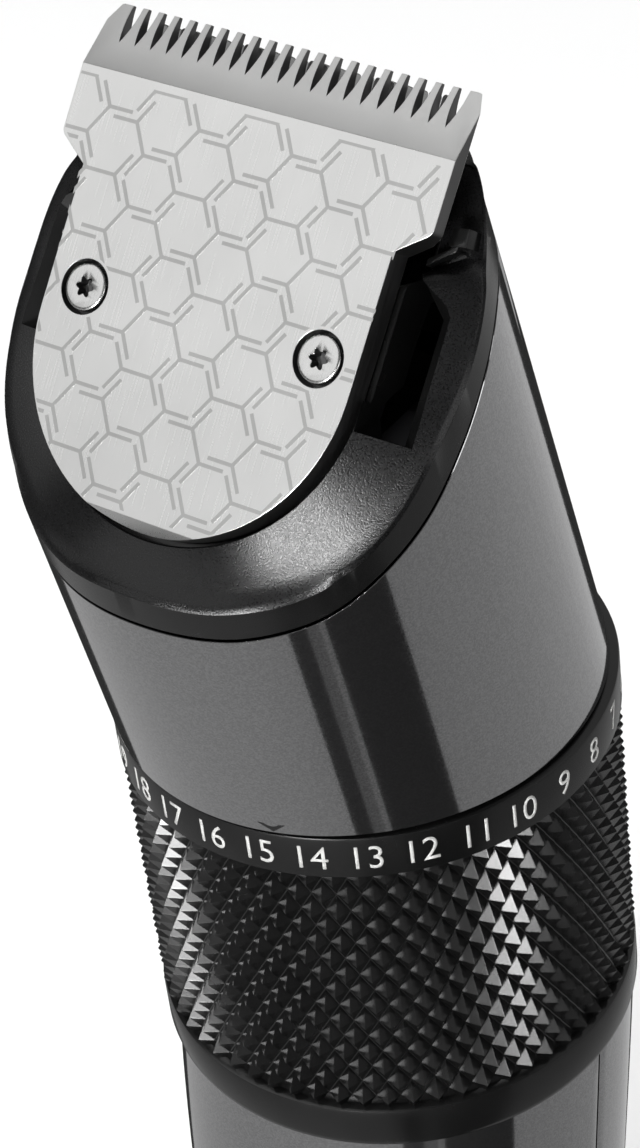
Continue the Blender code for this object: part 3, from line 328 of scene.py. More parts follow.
def bump(tree, shader, source, height_mm, strength=1.0):
    node = add_node(tree, "ShaderNodeBump", {"Distance": height_mm * MM, "Strength": strength},
                    {"Height": source})
    drive(shader, "Normal", node.outputs["Normal"])


def mottled(name, dark, light, rough, cloud_mm, metallic=0.0, detail=2.0):
    """Colour drifts in clouds, and so does roughness where it is a pair of values."""
    finish, tree, shader, where = new_material(name, light, rough[0], metallic)
    cloud = grain(tree, where, cloud_mm, detail)
    drive(shader, "Base Color", tint(tree, cloud, dark, light))
    if len(rough) == 2:
        drive(shader, "Roughness", ramp(tree, cloud, *rough))
    return finish, tree, shader, where


# %% [markdown]
# ### Ground blade steel
# The comb plate is stamped stainless steel, ground flat along its length. Grinding leaves fine
# parallel scratches, so the noise is stretched forty times along the plate, and the scratches
# change the roughness more than the colour.

# %% Blade steels: ground face, hollow-ground tooth face, laser-etched lines
ALONG_PLATE = pi / 2 - BLADE_TILT


def ground_steel(name, dark, light, rough_low, rough_high):
    finish, tree, shader, where = new_material(name, light, rough_low, 1.0)
    lines = grain(tree, where, 0.12, 3.0, (1.0, 40.0, 1.0), ALONG_PLATE)
    cloud = grain(tree, where, 6.0)
    drive(shader, "Base Color", tint(tree, cloud, dark, light))
    drive(shader, "Roughness", ramp(tree, lines, rough_low, rough_high))
    bump(tree, shader, lines, 0.002, 0.5)
    return finish


blade_steel = ground_steel("ground_blade_steel", "#D8D8D7", "#DEDEDD", 0.26, 0.34)
tooth_steel = ground_steel("ground_tooth_face_steel", "#D6D6D5", "#DEDEDD", 0.3, 0.4)
# A darker steel for upright walls and recesses: partly the duller wire-cut surface, partly painted shade.
cut_steel_and_painted_shade = ground_steel("wire_cut_steel_and_painted_shade", "#646464", "#787878", 0.3, 0.42)
cutter_steel = ground_steel("hardened_cutter_steel", "#B0B0B0", "#C4C4C4", 0.2, 0.3)
etched_steel = ground_steel("laser_etched_steel", "#B7B7B6", "#C0C0BF", 0.36, 0.46)
screw_steel = ground_steel("screw_steel", "#CFCFCE", "#DCDCDB", 0.2, 0.3)
print("steels:", blade_steel.name, tooth_steel.name, cutter_steel.name)

# %% [markdown]
# ### Black plastics and metallic lacquer
# The head is ABS from a spark-eroded mould, which leaves a fine pitted texture that sparkles where
# a light grazes it. The dial is ABS from a polished mould. The body is lacquered: aluminium flakes
# in a dark grey base, under a clear coat that mirrors the room.

# %% Black plastics
def eroded_plastic():
    """Moulded ABS with pits about 0.12 mm across, a little coarser than the real grit."""
    finish, tree, shader, where = new_material("spark_eroded_abs", "#0E0E0F", 0.4,
                                               Specular_IOR_Level=0.36)
    pits = grain(tree, where, 0.12, 1.0)
    drive(shader, "Base Color", tint(tree, pits, "#060606", "#0C0C0D"))
    drive(shader, "Roughness", ramp(tree, pits, 0.24, 0.36))
    bump(tree, shader, pits, 0.022, 0.9)
    return finish


def moulded_plastic(name, dark, light, rough_low, rough_high, height=0.004):
    """Moulded ABS from a polished mould: nearly smooth, with faint flow clouds."""
    finish, tree, shader, where = mottled(name, dark, light, (rough_low, rough_high), 5.0)
    bump(tree, shader, grain(tree, where, 0.4), height, 0.3)
    return finish


eroded_black = eroded_plastic()
satin_black = moulded_plastic("satin_black_abs", "#080808", "#0D0D0D", 0.2, 0.28)
dial_black = moulded_plastic("moulded_dial_abs", "#080808", "#0C0C0C", 0.2, 0.28)
shaded_black = moulded_plastic("shaded_abs", "#020202", "#040404", 0.5, 0.6)
inner_black = moulded_plastic("glass_filled_nylon", "#1A1A1B", "#242426", 0.5, 0.65, 0.02)
natural_nylon = moulded_plastic("natural_nylon", "#CFCEC6", "#DEDDD6", 0.4, 0.5)
socket_black = moulded_plastic("socket_insert", "#08080A", "#0E0E10", 0.35, 0.45)


# %% Metallic lacquer with aluminium flakes under a clear coat
def metallic_lacquer():
    """Flakes are about 0.12 mm across, coarser than real ones so that they show."""
    finish, tree, shader, where = new_material("gunmetal_flake_lacquer", "#A9A9AA", 0.14, 1.0,
                                               Coat_Weight=0.3, Coat_Roughness=0.04)
    cells = add_node(tree, "ShaderNodeTexVoronoi", {"Scale": 1000 / 0.12}, {"Vector": where})
    flake = add_node(tree, "ShaderNodeSeparateColor", {}, {"Color": cells.outputs["Color"]})
    drive(shader, "Base Color",
          tint(tree, flake.outputs["Red"], "#A2A2A3", "#B6B6B7", 0.1, 0.98))
    drive(shader, "Roughness", ramp(tree, flake.outputs["Green"], 0.04, 0.11, 0.0, 1.0))
    bump(tree, shader, flake.outputs["Blue"], 0.0008, 0.3)
    return finish


lacquer = metallic_lacquer()
print("lacquer:", lacquer.name)


# %% Small finishes: ink, chrome, rubber, brass, board, light window
def plain_metal(name, dark, light, rough_low, rough_high):
    return mottled(name, dark, light, (rough_low, rough_high), 1.5, 1.0, 4.0)[0]


def soft_rubber():
    finish, tree, shader, where = new_material("nitrile_rubber", "#121212", 0.8)
    speck = grain(tree, where, 0.3)
    drive(shader, "Roughness", ramp(tree, speck, 0.7, 0.9))
    bump(tree, shader, speck, 0.02, 0.5)
    return finish


def solder_mask():
    finish, tree, shader, where = new_material("green_solder_mask", "#1C5A34", 0.35)
    tracks = add_node(tree, "ShaderNodeTexBrick", {"Scale": 1000 / 4.0, "Mortar Size": 0.03},
                      {"Vector": where})
    drive(shader, "Base Color",
          tint(tree, tracks.outputs["Fac"], "#1C5A34", "#2E7A4B", 0.0, 1.0))
    return finish


ink = mottled("pad_printed_ink", "#A2A2A0", "#B8B8B6", (0.5,), 0.25)[0]
chrome = plain_metal("chrome_plating", "#D5D7D9", "#E4E6E8", 0.05, 0.1)
zinc_steel = plain_metal("zinc_plated_steel", "#9B9DA0", "#B9BBBE", 0.25, 0.4)
brass = plain_metal("spring_brass", "#B08D4A", "#C9A55C", 0.25, 0.4)
rubber = soft_rubber()
board_green = solder_mask()
window_clear, window_tree, window_shader, window_where = new_material(
    "frosted_light_window", "#DDE6EA", 0.3, Transmission_Weight=0.35, IOR=1.49)
drive(window_shader, "Base Color",
      tint(window_tree, grain(window_tree, window_where, 0.5), "#CBD6DB", "#E6EDF0"))
print("materials so far:", len(bpy.data.materials))

# %% [markdown]
# ## Geometry Nodes helper
# What repeats by a rule is a tree: points come in as a mesh, a motif is instanced on them, and the
# tree ends in Realize Instances and Set Material. The result is baked into a plain mesh.


# %% A tree that puts a motif on every point, turned by an attribute
def instance_tree(name, motif, finish):
    tree = bpy.data.node_groups.new(name, "GeometryNodeTree")
    tree.interface.new_socket("Geometry", in_out="INPUT", socket_type="NodeSocketGeometry")
    tree.interface.new_socket("Motif Scale", in_out="INPUT", socket_type="NodeSocketFloat")
    tree.interface.new_socket("Geometry", in_out="OUTPUT", socket_type="NodeSocketGeometry")
    start = add_node(tree, "NodeGroupInput")
    shape = add_node(tree, "GeometryNodeObjectInfo", {"Object": motif})
    turn = add_node(tree, "GeometryNodeInputNamedAttribute",
                    {"data_type": "FLOAT_VECTOR", "Name": "turn"})
    copies = add_node(tree, "GeometryNodeInstanceOnPoints", {},
                      {"Points": start.outputs["Geometry"],
                       "Instance": shape.outputs["Geometry"],
                       "Rotation": turn.outputs["Attribute"],
                       "Scale": start.outputs["Motif Scale"]})
    real = add_node(tree, "GeometryNodeRealizeInstances", {},
                    {"Geometry": copies.outputs["Instances"]})
    coat = add_node(tree, "GeometryNodeSetMaterial", {"Material": finish},
                    {"Geometry": real.outputs["Geometry"]})
    end = add_node(tree, "NodeGroupOutput")
    tree.links.new(coat.outputs["Geometry"], end.inputs["Geometry"])
    return tree


def scatter(name, points, turns, motif, finish, place=None):
    """Copies of a motif at points (mm), each with Euler turns, as one plain mesh."""
    mesh = bpy.data.meshes.new(name)
    mesh.from_pydata([tuple(Vector(p) * MM) for p in points], [], [])
    turn = mesh.attributes.new("turn", "FLOAT_VECTOR", "POINT")
    turn.data.foreach_set("vector", [value for angles in turns for value in angles])
    piece = in_scene(name, mesh)
    step = piece.modifiers.new("copies", "NODES")
    step.node_group = instance_tree(name + "_tree", motif, finish)
    scale = next(s for s in step.node_group.interface.items_tree if s.name == "Motif Scale")
    step[scale.identifier] = 1.0
    settle(piece)
    bpy.data.objects.remove(motif)
    if place is not None:
        piece.data.transform(place)
    return piece


# %% [markdown]
# ## The comb plate
# The fixed blade is one stamped plate: a tongue that carries two screws and a wide bar with twenty
# teeth. An outline with the teeth in it, extruded, gives true walls between the teeth. Two wedges
# then grind the tooth face and the small facet at the foot, as the maker's wheel does.

# %% Outline of the plate
PLATE_THICKNESS = 2.2
PLATE_HALF = 16.0
TONGUE_HALF = 13.4
SHOULDER_V = 10.25
NOTCH_V = 8.35
TONGUE_ARC_V = -1.95
TOOTH_COUNT = 20
TOOTH_PITCH = 1.4
TIP_V = 20.3
GULLET_V = 17.45
BEVEL_V = 15.35
TIP_DROP = 1.84
TIP_HALF = 0.26
GULLET_STEPS = 7


def corner(at_u, at_v, radius, start, end, steps=6):
    """Points of a rounded corner, about its centre."""
    return [(at_u + radius * cos(start + (end - start) * k / steps),
             at_v + radius * sin(start + (end - start) * k / steps)) for k in range(steps + 1)]


def gullet(middle, half_mouth, mouth_v, foot_v):
    """One gap between teeth, a pointed arch upside down, from left to right."""
    side = []
    for k in range(GULLET_STEPS + 1):
        t = k / GULLET_STEPS
        side.append((half_mouth * (1 - (1 - t) ** 2.4), foot_v + (mouth_v - foot_v) * t))
    left = [(middle - u, v) for u, v in reversed(side)]
    return left + [(middle + u, v) for u, v in side[1:]]


def comb(count, pitch, tip_half, tip_v, foot_v):
    """The edge of a comb between its outer tabs, from left to right."""
    edge = []
    for k in range(count + 1):
        middle = (k - count / 2) * pitch
        edge += gullet(middle, pitch / 2 - tip_half, tip_v, foot_v)
    return edge


def tongue(grow=0.0):
    half = TONGUE_HALF + grow
    arc = corner(0, TONGUE_ARC_V, half, 0, -pi, 48)
    return [(half, NOTCH_V)] + arc + [(-half, NOTCH_V)]


def plate_outline():
    top = 0.9
    low = 0.8
    right = corner(PLATE_HALF - top, TIP_V - top, top, pi / 2, 0)
    right += corner(PLATE_HALF - low, SHOULDER_V + 0.35, low, 0, radians(-52))
    left = mirrored(reversed(right), -1)
    return comb(TOOTH_COUNT, TOOTH_PITCH, TIP_HALF, TIP_V, GULLET_V) + right + tongue() + left


outline = plate_outline()
print("plate outline points:", len(outline))

# %% Grind the plate and cut the screw recesses
SCREW_U = 10.2
HEAD_R = 1.72
RECESS_R = 2.02
RECESS_DEPTH = 1.5
plate = prism("comb_plate", outline, -PLATE_THICKNESS, 0, blade_steel, place=blade_frame())
slope = TIP_DROP / (TIP_V - BEVEL_V)
FAR = 8.0
FOOT_V = -14.48
HOLE_R = 1.3
tooth_wedge = side_profile("tooth_wedge", [(BEVEL_V, 0), (BEVEL_V + FAR, -FAR * slope),
                                           (BEVEL_V + FAR, FAR), (BEVEL_V, FAR)],
                           -PLATE_HALF - 1, PLATE_HALF + 1, tooth_steel, place=blade_frame())
foot_wedge = side_profile("foot_wedge", [(FOOT_V, 0), (FOOT_V, FAR), (FOOT_V - FAR, FAR),
                                         (FOOT_V - FAR, -FAR)],
                          -PLATE_HALF, PLATE_HALF, tooth_steel, place=blade_frame())
recesses = [turned(f"recess_{side}", [(HOLE_R, -FAR), (HOLE_R, -RECESS_DEPTH),
                                      (RECESS_R, -RECESS_DEPTH), (RECESS_R, 1)], blade_steel,
                   place=blade_frame(side * SCREW_U)) for side in (-1, 1)]
CHAMFER = ((16.2, -1.15), (17.5, -1.15), (17.5, -3.5), (14.6, -3.5), (14.75, -2.4))


def underside_chamfer(side):
    """Takes the lower edge off the wide bar, so that its side wall is thin."""
    section = mirrored(CHAMFER, side)
    rows = [[(u, v, h) for u, h in section] for v in (SHOULDER_V - 1.5, TIP_V + 3)]
    return capped_piece("underside_chamfer", rows, blade_steel, place=blade_frame())


cut(plate, tooth_wedge, foot_wedge, underside_chamfer(-1), underside_chamfer(1), *recesses)
soften(plate, 0.1, 2, 28, sharp=9)
STEEP = 0.12            # a wall's normal leans less than this towards the plate's own
STEEP_IN_TEETH = 0.6    # the teeth's walls are softened, so more of them counts
TEETH_HALF = 14.2


def colour_by_face(piece):
    """The ground tooth face has a finish of its own; upright walls and recesses get darker steel, partly for the
    cut surface and partly as painted shade.
    """
    piece.data.materials.clear()
    for finish in (blade_steel, tooth_steel, cut_steel_and_painted_shade):
        piece.data.materials.append(finish)
    lean = atan2(TIP_DROP, TIP_V - BEVEL_V)
    start = blade_point(0, 0, 0)
    facet = (blade_point(0, sin(lean), cos(lean)) - start).normalized()
    upright = (blade_point(0, 0, 1) - start).normalized()
    along = (blade_point(0, 1, 0) - start).normalized()
    for face in piece.data.polygons:
        spot = face.center / MM - start
        v, h = spot.dot(along), spot.dot(upright)
        in_teeth = v > GULLET_V - 0.5 and abs(spot.x) < TEETH_HALF
        in_recess = h < -0.12 and hypot(abs(spot.x) - SCREW_U, v) < RECESS_R + 0.02
        steep = STEEP_IN_TEETH if in_teeth else STEEP
        if in_recess or abs(face.normal.dot(upright)) < steep:
            face.material_index = 2
        elif face.normal.dot(facet) > 0.995:
            face.material_index = 1


colour_by_face(plate)
print("plate faces:", len(plate.data.polygons))

# %% [markdown]
# ### Etched hexagons
# A laser draws a lattice of hexagons in matt lines. Each cell is one small hexagon, open at three
# corners, and three junctions outside those corners with two arms and a link to the next cell.
# The motif is drawn once and instanced over a lattice, then trimmed to the plate's face.

# %% One cell of the engraving
CELL = 8.0              # from one small hexagon to the next
SQUASH = 0.935          # the lattice is a little shorter than it is wide
INNER_R = CELL / (2 * sqrt(3))
OUTER_R = 3.05
LINE = 0.3
ARM = 2.12
ETCH_H = 0.008


def ray(radius, degrees):
    return Vector((radius * cos(radians(degrees)), radius * sin(radians(degrees))))


def etched_cell():
    """Line segments of a cell, as pairs of ends."""
    lines = []
    for joint in (0, 120, 240):
        start = ray(INNER_R, joint)
        for open_corner in (joint - 60, joint + 60):
            end = ray(INNER_R, open_corner)
            lines.append((start, end + (start - end).normalized() * 0.22))
    for joint in (60, 180, 300):
        start = ray(OUTER_R, joint)
        for away in (joint + 120, joint - 120):
            lines.append((start, start + ray(ARM, away)))
        lines.append((start, start + ray(CELL - OUTER_R - INNER_R, joint)))
    return lines


def line_motif():
    shape = bmesh.new()
    for start, end in etched_cell():
        along = (end - start).normalized()
        across = Vector((-along.y, along.x)) * LINE / 2
        start = start - along * LINE * 0.3
        corners = [start + across, end + across, end - across, start - across]
        low = [shape.verts.new((c.x * MM, c.y * SQUASH * MM, -ETCH_H * MM)) for c in corners]
        high = [shape.verts.new((c.x * MM, c.y * SQUASH * MM, ETCH_H * MM)) for c in corners]
        shape.faces.new(low[::-1])
        shape.faces.new(high)
        for i in range(4):
            shape.faces.new((low[i], low[(i + 1) % 4], high[(i + 1) % 4], high[i]))
    bmesh.ops.recalc_face_normals(shape, faces=shape.faces)
    return in_scene("etched_cell", finished_mesh("etched_cell", shape))


# %% The lattice over the plate, trimmed to its flat face
LATTICE_U, LATTICE_V = -7.44, 8.20
lattice = []
for row in range(-5, 3):
    for column in range(-4, 5):
        u = LATTICE_U + (column + row / 2) * CELL
        v = LATTICE_V + row * CELL * sqrt(3) / 2 * SQUASH
        if abs(u) < PLATE_HALF + CELL / 2:
            lattice.append((u, v, 0.0))
etching = scatter("etched_hexagons", lattice, [(0, 0, 0)] * len(lattice), line_motif(),
                  etched_steel, blade_frame())
MARGIN = 0.12
face_edge = [(PLATE_HALF - MARGIN, BEVEL_V - 0.6), (PLATE_HALF - MARGIN, SHOULDER_V + 0.2)]
face_edge += [(TONGUE_HALF + 0.2, NOTCH_V + 0.2)]
face_edge += [(u, v) for u, v in tongue(-MARGIN)[1:-1] if v > -14.4]
left_edge = [(u, v) for u, v in mirrored(reversed(face_edge), -1) if v >= NOTCH_V]
trim = prism("trim", face_edge + left_edge, -0.5, 0.5, etched_steel, place=blade_frame())
PLAIN_R = 2.25          # no line runs closer to a screw's middle
rings = [turned(f"ring_{side}", [(PLAIN_R, -1), (PLAIN_R, 1)], etched_steel,
                place=blade_frame(side * SCREW_U)) for side in (-1, 1)]
cut(trim, *rings)
cut(etching, trim, operation="INTERSECT", crossing=True)
print("etching faces:", len(etching.data.polygons))

# %% [markdown]
# ### Screws
# The plate is held by two countersunk screws with a six-lobe drive. The lobe outline is a circle
# whose radius swings six times, cut into the head as a blind pocket with a softened mouth.


# %% Two six-lobe screws
def lobe_outline(radius, swing, sides=72):
    return [((radius + swing * cos(6 * a)) * cos(a), (radius + swing * cos(6 * a)) * sin(a))
            for a in [2 * pi * i / sides for i in range(sides)]]


SHANK_R = 1.0
LOBE_R, LOBE_SWING = 0.64, 0.14
POCKET_LOW, POCKET_MOUTH, POCKET_REACH = -0.95, -0.08, 0.84


def star_screw(name, side):
    place = blade_frame(side * SCREW_U)
    seat = -RECESS_DEPTH + 0.1
    head = turned(name, [(SHANK_R, seat), (HEAD_R - 0.1, seat), (HEAD_R, seat + 0.15),
                         (HEAD_R, -0.13), (HEAD_R - 0.1, -0.04), (HEAD_R - 0.25, -0.02)],
                  screw_steel, sides=72, place=place)
    cut(head, prism("pocket", lobe_outline(LOBE_R, LOBE_SWING), POCKET_LOW, 1, screw_steel,
                    place=place))
    soften(head, 0.045, 2, 35)
    # The drive pocket gets the darker steel as painted shade inside it.
    head.data.materials.append(cut_steel_and_painted_shade)
    inwards = place.inverted()
    for face in head.data.polygons:
        spot = inwards @ face.center / MM
        if hypot(spot.x, spot.y) < POCKET_REACH and spot.z < POCKET_MOUTH:
            face.material_index = 1
    return head


screws = [star_screw("plate_screw_left", -1), star_screw("plate_screw_right", 1)]
print("screw faces:", [len(s.data.polygons) for s in screws])

# %% [markdown]
# ### The moving cutter
# Behind the comb a second blade slides from side to side. Its teeth end a little lower, in round
# tips. Five of them stand where the comb has four, so some peep out beside the comb's teeth.

# %% Cutter blade
CUTTER_HALF = 13.3
CUTTER_PITCH = 1.12
CUTTER_TIP_V = 19.7
CUTTER_TOP = -PLATE_THICKNESS - AIR
CUTTER_LOW = CUTTER_TOP - 1.1
CUTTER_TEETH = 23
CUTTER_FOOT_V = GULLET_V - 1.1
CUTTER_TONGUE, CUTTER_TONGUE_V = 9.5, 5.0


def cutter_outline():
    points = []
    half = 0.25
    foot = half + 0.02
    for k in range(CUTTER_TEETH):
        middle = (k - (CUTTER_TEETH - 1) / 2) * CUTTER_PITCH
        points.append((middle - foot, CUTTER_FOOT_V))
        points += corner(middle, CUTTER_TIP_V - half, half, pi, 0)
        points.append((middle + foot, CUTTER_FOOT_V))
    low = SHOULDER_V + 0.4
    end = [(CUTTER_HALF, CUTTER_FOOT_V), (CUTTER_HALF, low), (CUTTER_TONGUE, low),
           (CUTTER_TONGUE, CUTTER_TONGUE_V)]
    return points + end + mirrored(reversed(end), -1)


cutter = prism("cutter_blade", cutter_outline(), CUTTER_LOW, CUTTER_TOP, cutter_steel,
               place=blade_frame())
soften(cutter, 0.05, 1, 40)
print("cutter faces:", len(cutter.data.polygons))

# %% [markdown]
# ## The head frame
# The black frame is one moulding: a glossy band that carries on the neck's cone, a rim, a pitted
# bowl that falls to the plate, and a recess for the plate. All of it is a set of loops round the
# plate, each found by an angle, so the loops line up and bridge into clean quads.

# %% Rim, seam and opening as functions of an angle round the plate
SEAM = ((0, 22.8), (22, 22.8), (35, 23.6), (45, 24.7), (56, 26.8), (71, 30.4), (85, 34.6),
        (100, 38.7), (115, 41.7), (140, 43.6), (180, 44.6))
RIM = ((0, -19.65, -0.5), (8.0, -18.55, -2.0), (13.3, -15.15, -3.7), (16.75, -11.05, -4.1),
       (18.8, -3.15, -4.4), (19.1, 0.65, -4.8), (18.6, 7.65, -5.0), (17.9, 9.35, -5.0),
       (16.1, 14.25, -5.0), (14.8, 15.95, -5.0))
TOP_V = 15.95
TOP_H = -5.0
BED_H = -1.3
BACK_EDGE = 49.4
FINE = 360
RIM_TURNS = [(atan2(u, -v), hypot(u, v), h) for u, v, h in RIM]
CORNER = RIM_TURNS[-1][0]


def seam_height(turn):
    return smooth_between(SEAM, min(abs(turn) * 180 / pi, 180))


def rim_uvh(turn, side):
    if turn > CORNER:
        return (side * -TOP_V * tan(turn), TOP_V, TOP_H)
    reach = smooth_between([(a, r) for a, r, h in RIM_TURNS], turn)
    drop = smooth_between([(a, h) for a, r, h in RIM_TURNS], turn)
    return (side * reach * sin(turn), -reach * cos(turn), drop)


def opening_uv(turn, side, grow):
    half = TONGUE_HALF + grow
    top = TOP_V - 2.5 + grow
    if turn > atan2(half - 1.2, -top):
        reach = top / -cos(turn)
    elif turn > pi / 2:
        reach = min(half / sin(turn), hypot(half - 1.2, top))
    else:
        along = TONGUE_ARC_V * cos(turn)
        reach = -along + sqrt(along * along + half * half - TONGUE_ARC_V ** 2)
        if reach * -cos(turn) > TONGUE_ARC_V:
            reach = half / max(sin(turn), 1e-6)
    return (side * reach * sin(turn), -reach * cos(turn))


# %% Loops of the frame and its mesh
RIM_LAND = 0.35
RIM_STEP = 0.06
BOWL_SWELL = -0.12
EDGE_DROP = 0.25
WALL = 1.6
SPIGOT_WALL, SPIGOT_DEPTH = 1.2, 2.0
SUNK = 4.0              # how far the recess deepens behind the teeth


def frame_loops():
    """Named loops, from the seam over the rim and bowl to the recess and back inside."""
    loops = {}
    last = abs(cone_turn(blade_point(*RIM[-1])))
    raised = blade_point(0, 0, 1) - blade_point(0, 0, 0)
    for i in range(FINE):
        angle = 2 * pi * (i + 0.5) / FINE
        side = 1 if sin(angle) >= 0 else -1
        turn = atan2(abs(sin(angle)), cos(angle))
        rim = blade_point(*rim_uvh(turn, side))
        edge = rim[2] - DIAL_TOP - EDGE_DROP
        if turn <= CORNER:
            around = cone_turn(rim)
        else:
            around = side * (last + (pi - last) * (turn - CORNER) / (pi - CORNER))
            edge += (BACK_EDGE - edge) * min((turn - CORNER) / radians(12), 1.0)
        seam = seam_height(around)
        steep = min(max((turn - radians(115)) / radians(6), 0), 1)
        steep = steep * steep * (3 - 2 * steep)
        open_h = BED_H + (TOP_H - BED_H) * steep
        floor_h = -PLATE_THICKNESS - AIR - 0.05 - SUNK * steep
        bed = opening_uv(turn, side, AIR + 0.05)
        inner = opening_uv(turn, side, AIR - 0.9)
        grown = blade_point(*bed, open_h)
        deep = WALL + AIR
        edge_point = cone_point(around, max(edge, seam + 0.4))
        across = max((grown - rim).length, 0.5)
        row = {"seam_low": cone_point(around, seam, 0.12),
               "seam": cone_point(around, seam + 0.14),
               "edge": edge_point,
               "rim_out": edge_point.lerp(rim, 0.55),
               "rim": rim.lerp(grown, RIM_LAND / across),
               "rim_in": rim.lerp(grown, 1.5 * RIM_LAND / across) + raised * -RIM_STEP}
        for name, share in (("bowl_out", 0.3), ("bowl", 0.55), ("bowl_in", 0.8)):
            swell = BOWL_SWELL * 4 * share * (1 - share) * (1 - steep)
            row[name] = rim.lerp(grown, share) + raised * swell
        row |= {"bed_out": rim.lerp(grown, 1 - 0.12 / across),
                "bed": blade_point(*bed, open_h - 0.12),
                "recess": blade_point(*bed, floor_h),
                "ledge": blade_point(*inner, floor_h),
                "under": blade_point(*inner, floor_h - 3.0),
                "spigot_in": cone_point(around, seam - 0.2, deep + SPIGOT_WALL),
                "spigot_foot_in": cone_point(around, seam - SPIGOT_DEPTH, deep + SPIGOT_WALL),
                "spigot_foot": cone_point(around, seam - SPIGOT_DEPTH, deep),
                "spigot": cone_point(around, seam, deep)}
        for name, point in row.items():
            loops.setdefault(name, []).append(point)
    return loops


loops = frame_loops()
pitted = ("edge", "rim_out", "rim", "rim_in", "bowl_out", "bowl", "bowl_in", "bed_out")
slots = [int(name in pitted) for name in loops for i in range(FINE)]
head = ring_piece("head_bowl", list(loops.values()), [satin_black, eroded_black], slots=slots)
print("head faces:", len(head.data.polygons))

# %% Windows for the comb's arms, with a narrow shelf outside and above
WINDOW_OUT = 16.4
WINDOW_LOW, WINDOW_HIGH = -4.0, 6.6
SHELF_OUT, SHELF_UP = 1.0, 0.45
WAY_IN = 9.9
WAY_FRONT, WAY_BACK = DIAL_Y - 11.9, DIAL_Y - 6.9
WAY_LOW, WAY_HIGH = DIAL_TOP + 18, DIAL_TOP + 37.2


def window_cutter(side):
    rows = []
    for h, out, up in ((-12, 0, 0), (-4.1, 0, 0), (-3.5, SHELF_OUT, SHELF_UP),
                       (2, SHELF_OUT, SHELF_UP)):
        near, far = side * (TONGUE_HALF + 0.35), side * (WINDOW_OUT + out)
        rows.append([(near, WINDOW_LOW, h), (far, WINDOW_LOW, h),
                     (far, WINDOW_HIGH - 1.6 + up, h), (near, WINDOW_HIGH + 0.9 + up, h)])
    return capped_piece("window", rows, shaded_black, place=blade_frame())


way_outline = [(WAY_IN, WAY_FRONT), (WINDOW_OUT, WAY_FRONT), (WINDOW_OUT, WAY_BACK),
               (WAY_IN, WAY_BACK)]
for side in (-1, 1):
    way = prism("way", mirrored(way_outline, side), WAY_LOW, WAY_HIGH, shaded_black)
    cut(head, window_cutter(side), way)
shade(head.data, 24)
print("head faces with windows:", len(head.data.polygons))

# %% Locating lugs under the plate's shoulders
PEG = ((15.5, 9.9), (16.9, 10.1), (16.7, 11.4), (15.4, 11.2))
RIB = ((14.0, 8.2), (16.0, 9.7), (16.0, 10.2), (14.0, 8.7))
LUG_FOOT, PEG_TOP, RIB_TOP = -6.5, -3.3, -3.7


def lug(side):
    """A square peg and a low rib, moulded on the frame beside the plate's notch."""
    peg, rib = [prism(name, mirrored(outline, side), LUG_FOOT, top, satin_black,
                      place=blade_frame())
                for name, outline, top in (("locating_lug", PEG, PEG_TOP), ("rib", RIB, RIB_TOP))]
    cut(peg, rib, operation="UNION")
    return soften(peg, 0.12, 2, 35)


lugs = [lug(-1), lug(1)]
print("lug faces:", [len(piece.data.polygons) for piece in lugs])

# %% [markdown]
# ## The neck shell
# A lacquered sleeve carries the head. It is the same leaning cone as the frame, cut off by the
# seam curve above and flat above the dial, with small radii where the light breaks.


# %% Sleeve from the dial to the seam
PART_GAP = 0.35


def sleeve_loops():
    rows = []
    for share, inset, shift in ((0, 0.12, 0.0), (0, 0.0, 0.14), (0.35, 0, 0), (0.7, 0, 0),
                                (1, 0.0, -0.05), (1, 0.04, 0.0), (1, WALL, 0.0),
                                (0.5, WALL, 0), (0, WALL, 0.0)):
        row = []
        for i in range(FINE):
            turn = 2 * pi * i / FINE
            turn = turn if turn <= pi else turn - 2 * pi
            top = seam_height(turn) - 0.22
            row.append(cone_point(turn, PART_GAP + (top - PART_GAP) * share + shift, inset))
        rows.append(row)
    return rows


sleeve = ring_piece("neck_sleeve", sleeve_loops(), lacquer)
print("sleeve faces:", len(sleeve.data.polygons))

# %% Pointer mark above the dial
POINTER_TURN = radians(16)


def pointer_mark():
    shape = [(-0.055, 1.5), (0.055, 1.5), (0.0, 0.6)]
    skin = [[cone_point(POINTER_TURN + a, z, inset) for a, z in shape] for inset in (0.02, -0.02)]
    return capped_piece("pointer_mark", skin, satin_black)


pointer = pointer_mark()

# %% [markdown]
# ## The length dial
# The ring is moulded with a diamond knurl: two sets of slanting grooves leave small pyramids.
# One pyramid is made and Geometry Nodes sets it on points that wrap round the ring, every second
# row shifted by half a step. The numbers are type, bent onto the band above the knurl.

# %% Turned body of the dial
BAND_HEIGHT = 4.0
COLLAR_RADIUS = 20.3
COLLAR_TOP = 4.2
FLOOR_RADIUS = 19.4
DIAL_H = DIAL_TOP - DIAL_BOTTOM
BORE = 15.6
dial_profile = [(BORE, 0), (COLLAR_RADIUS - 0.5, 0), (COLLAR_RADIUS - 0.22, 0.1),
                (COLLAR_RADIUS - 0.08, 0.32), (COLLAR_RADIUS, 0.75),
                (COLLAR_RADIUS, COLLAR_TOP - 0.4), (COLLAR_RADIUS - 0.1, COLLAR_TOP - 0.12),
                (COLLAR_RADIUS - 0.3, COLLAR_TOP),
                (FLOOR_RADIUS, COLLAR_TOP + 0.05), (FLOOR_RADIUS, DIAL_H - BAND_HEIGHT - 0.1),
                (DIAL_RADIUS - 0.08, DIAL_H - BAND_HEIGHT), (DIAL_RADIUS, DIAL_H - 3.9),
                (DIAL_RADIUS, DIAL_H - 0.25), (DIAL_RADIUS - 0.07, DIAL_H - 0.07),
                (DIAL_RADIUS - 0.25, DIAL_H), (BORE, DIAL_H)]
dial_place = Matrix.Translation((0, DIAL_Y * MM, DIAL_BOTTOM * MM))
ring = turned("dial_ring", dial_profile, dial_black, sides=FINE, closed=True, place=dial_place)
print("dial ring faces:", len(ring.data.polygons))

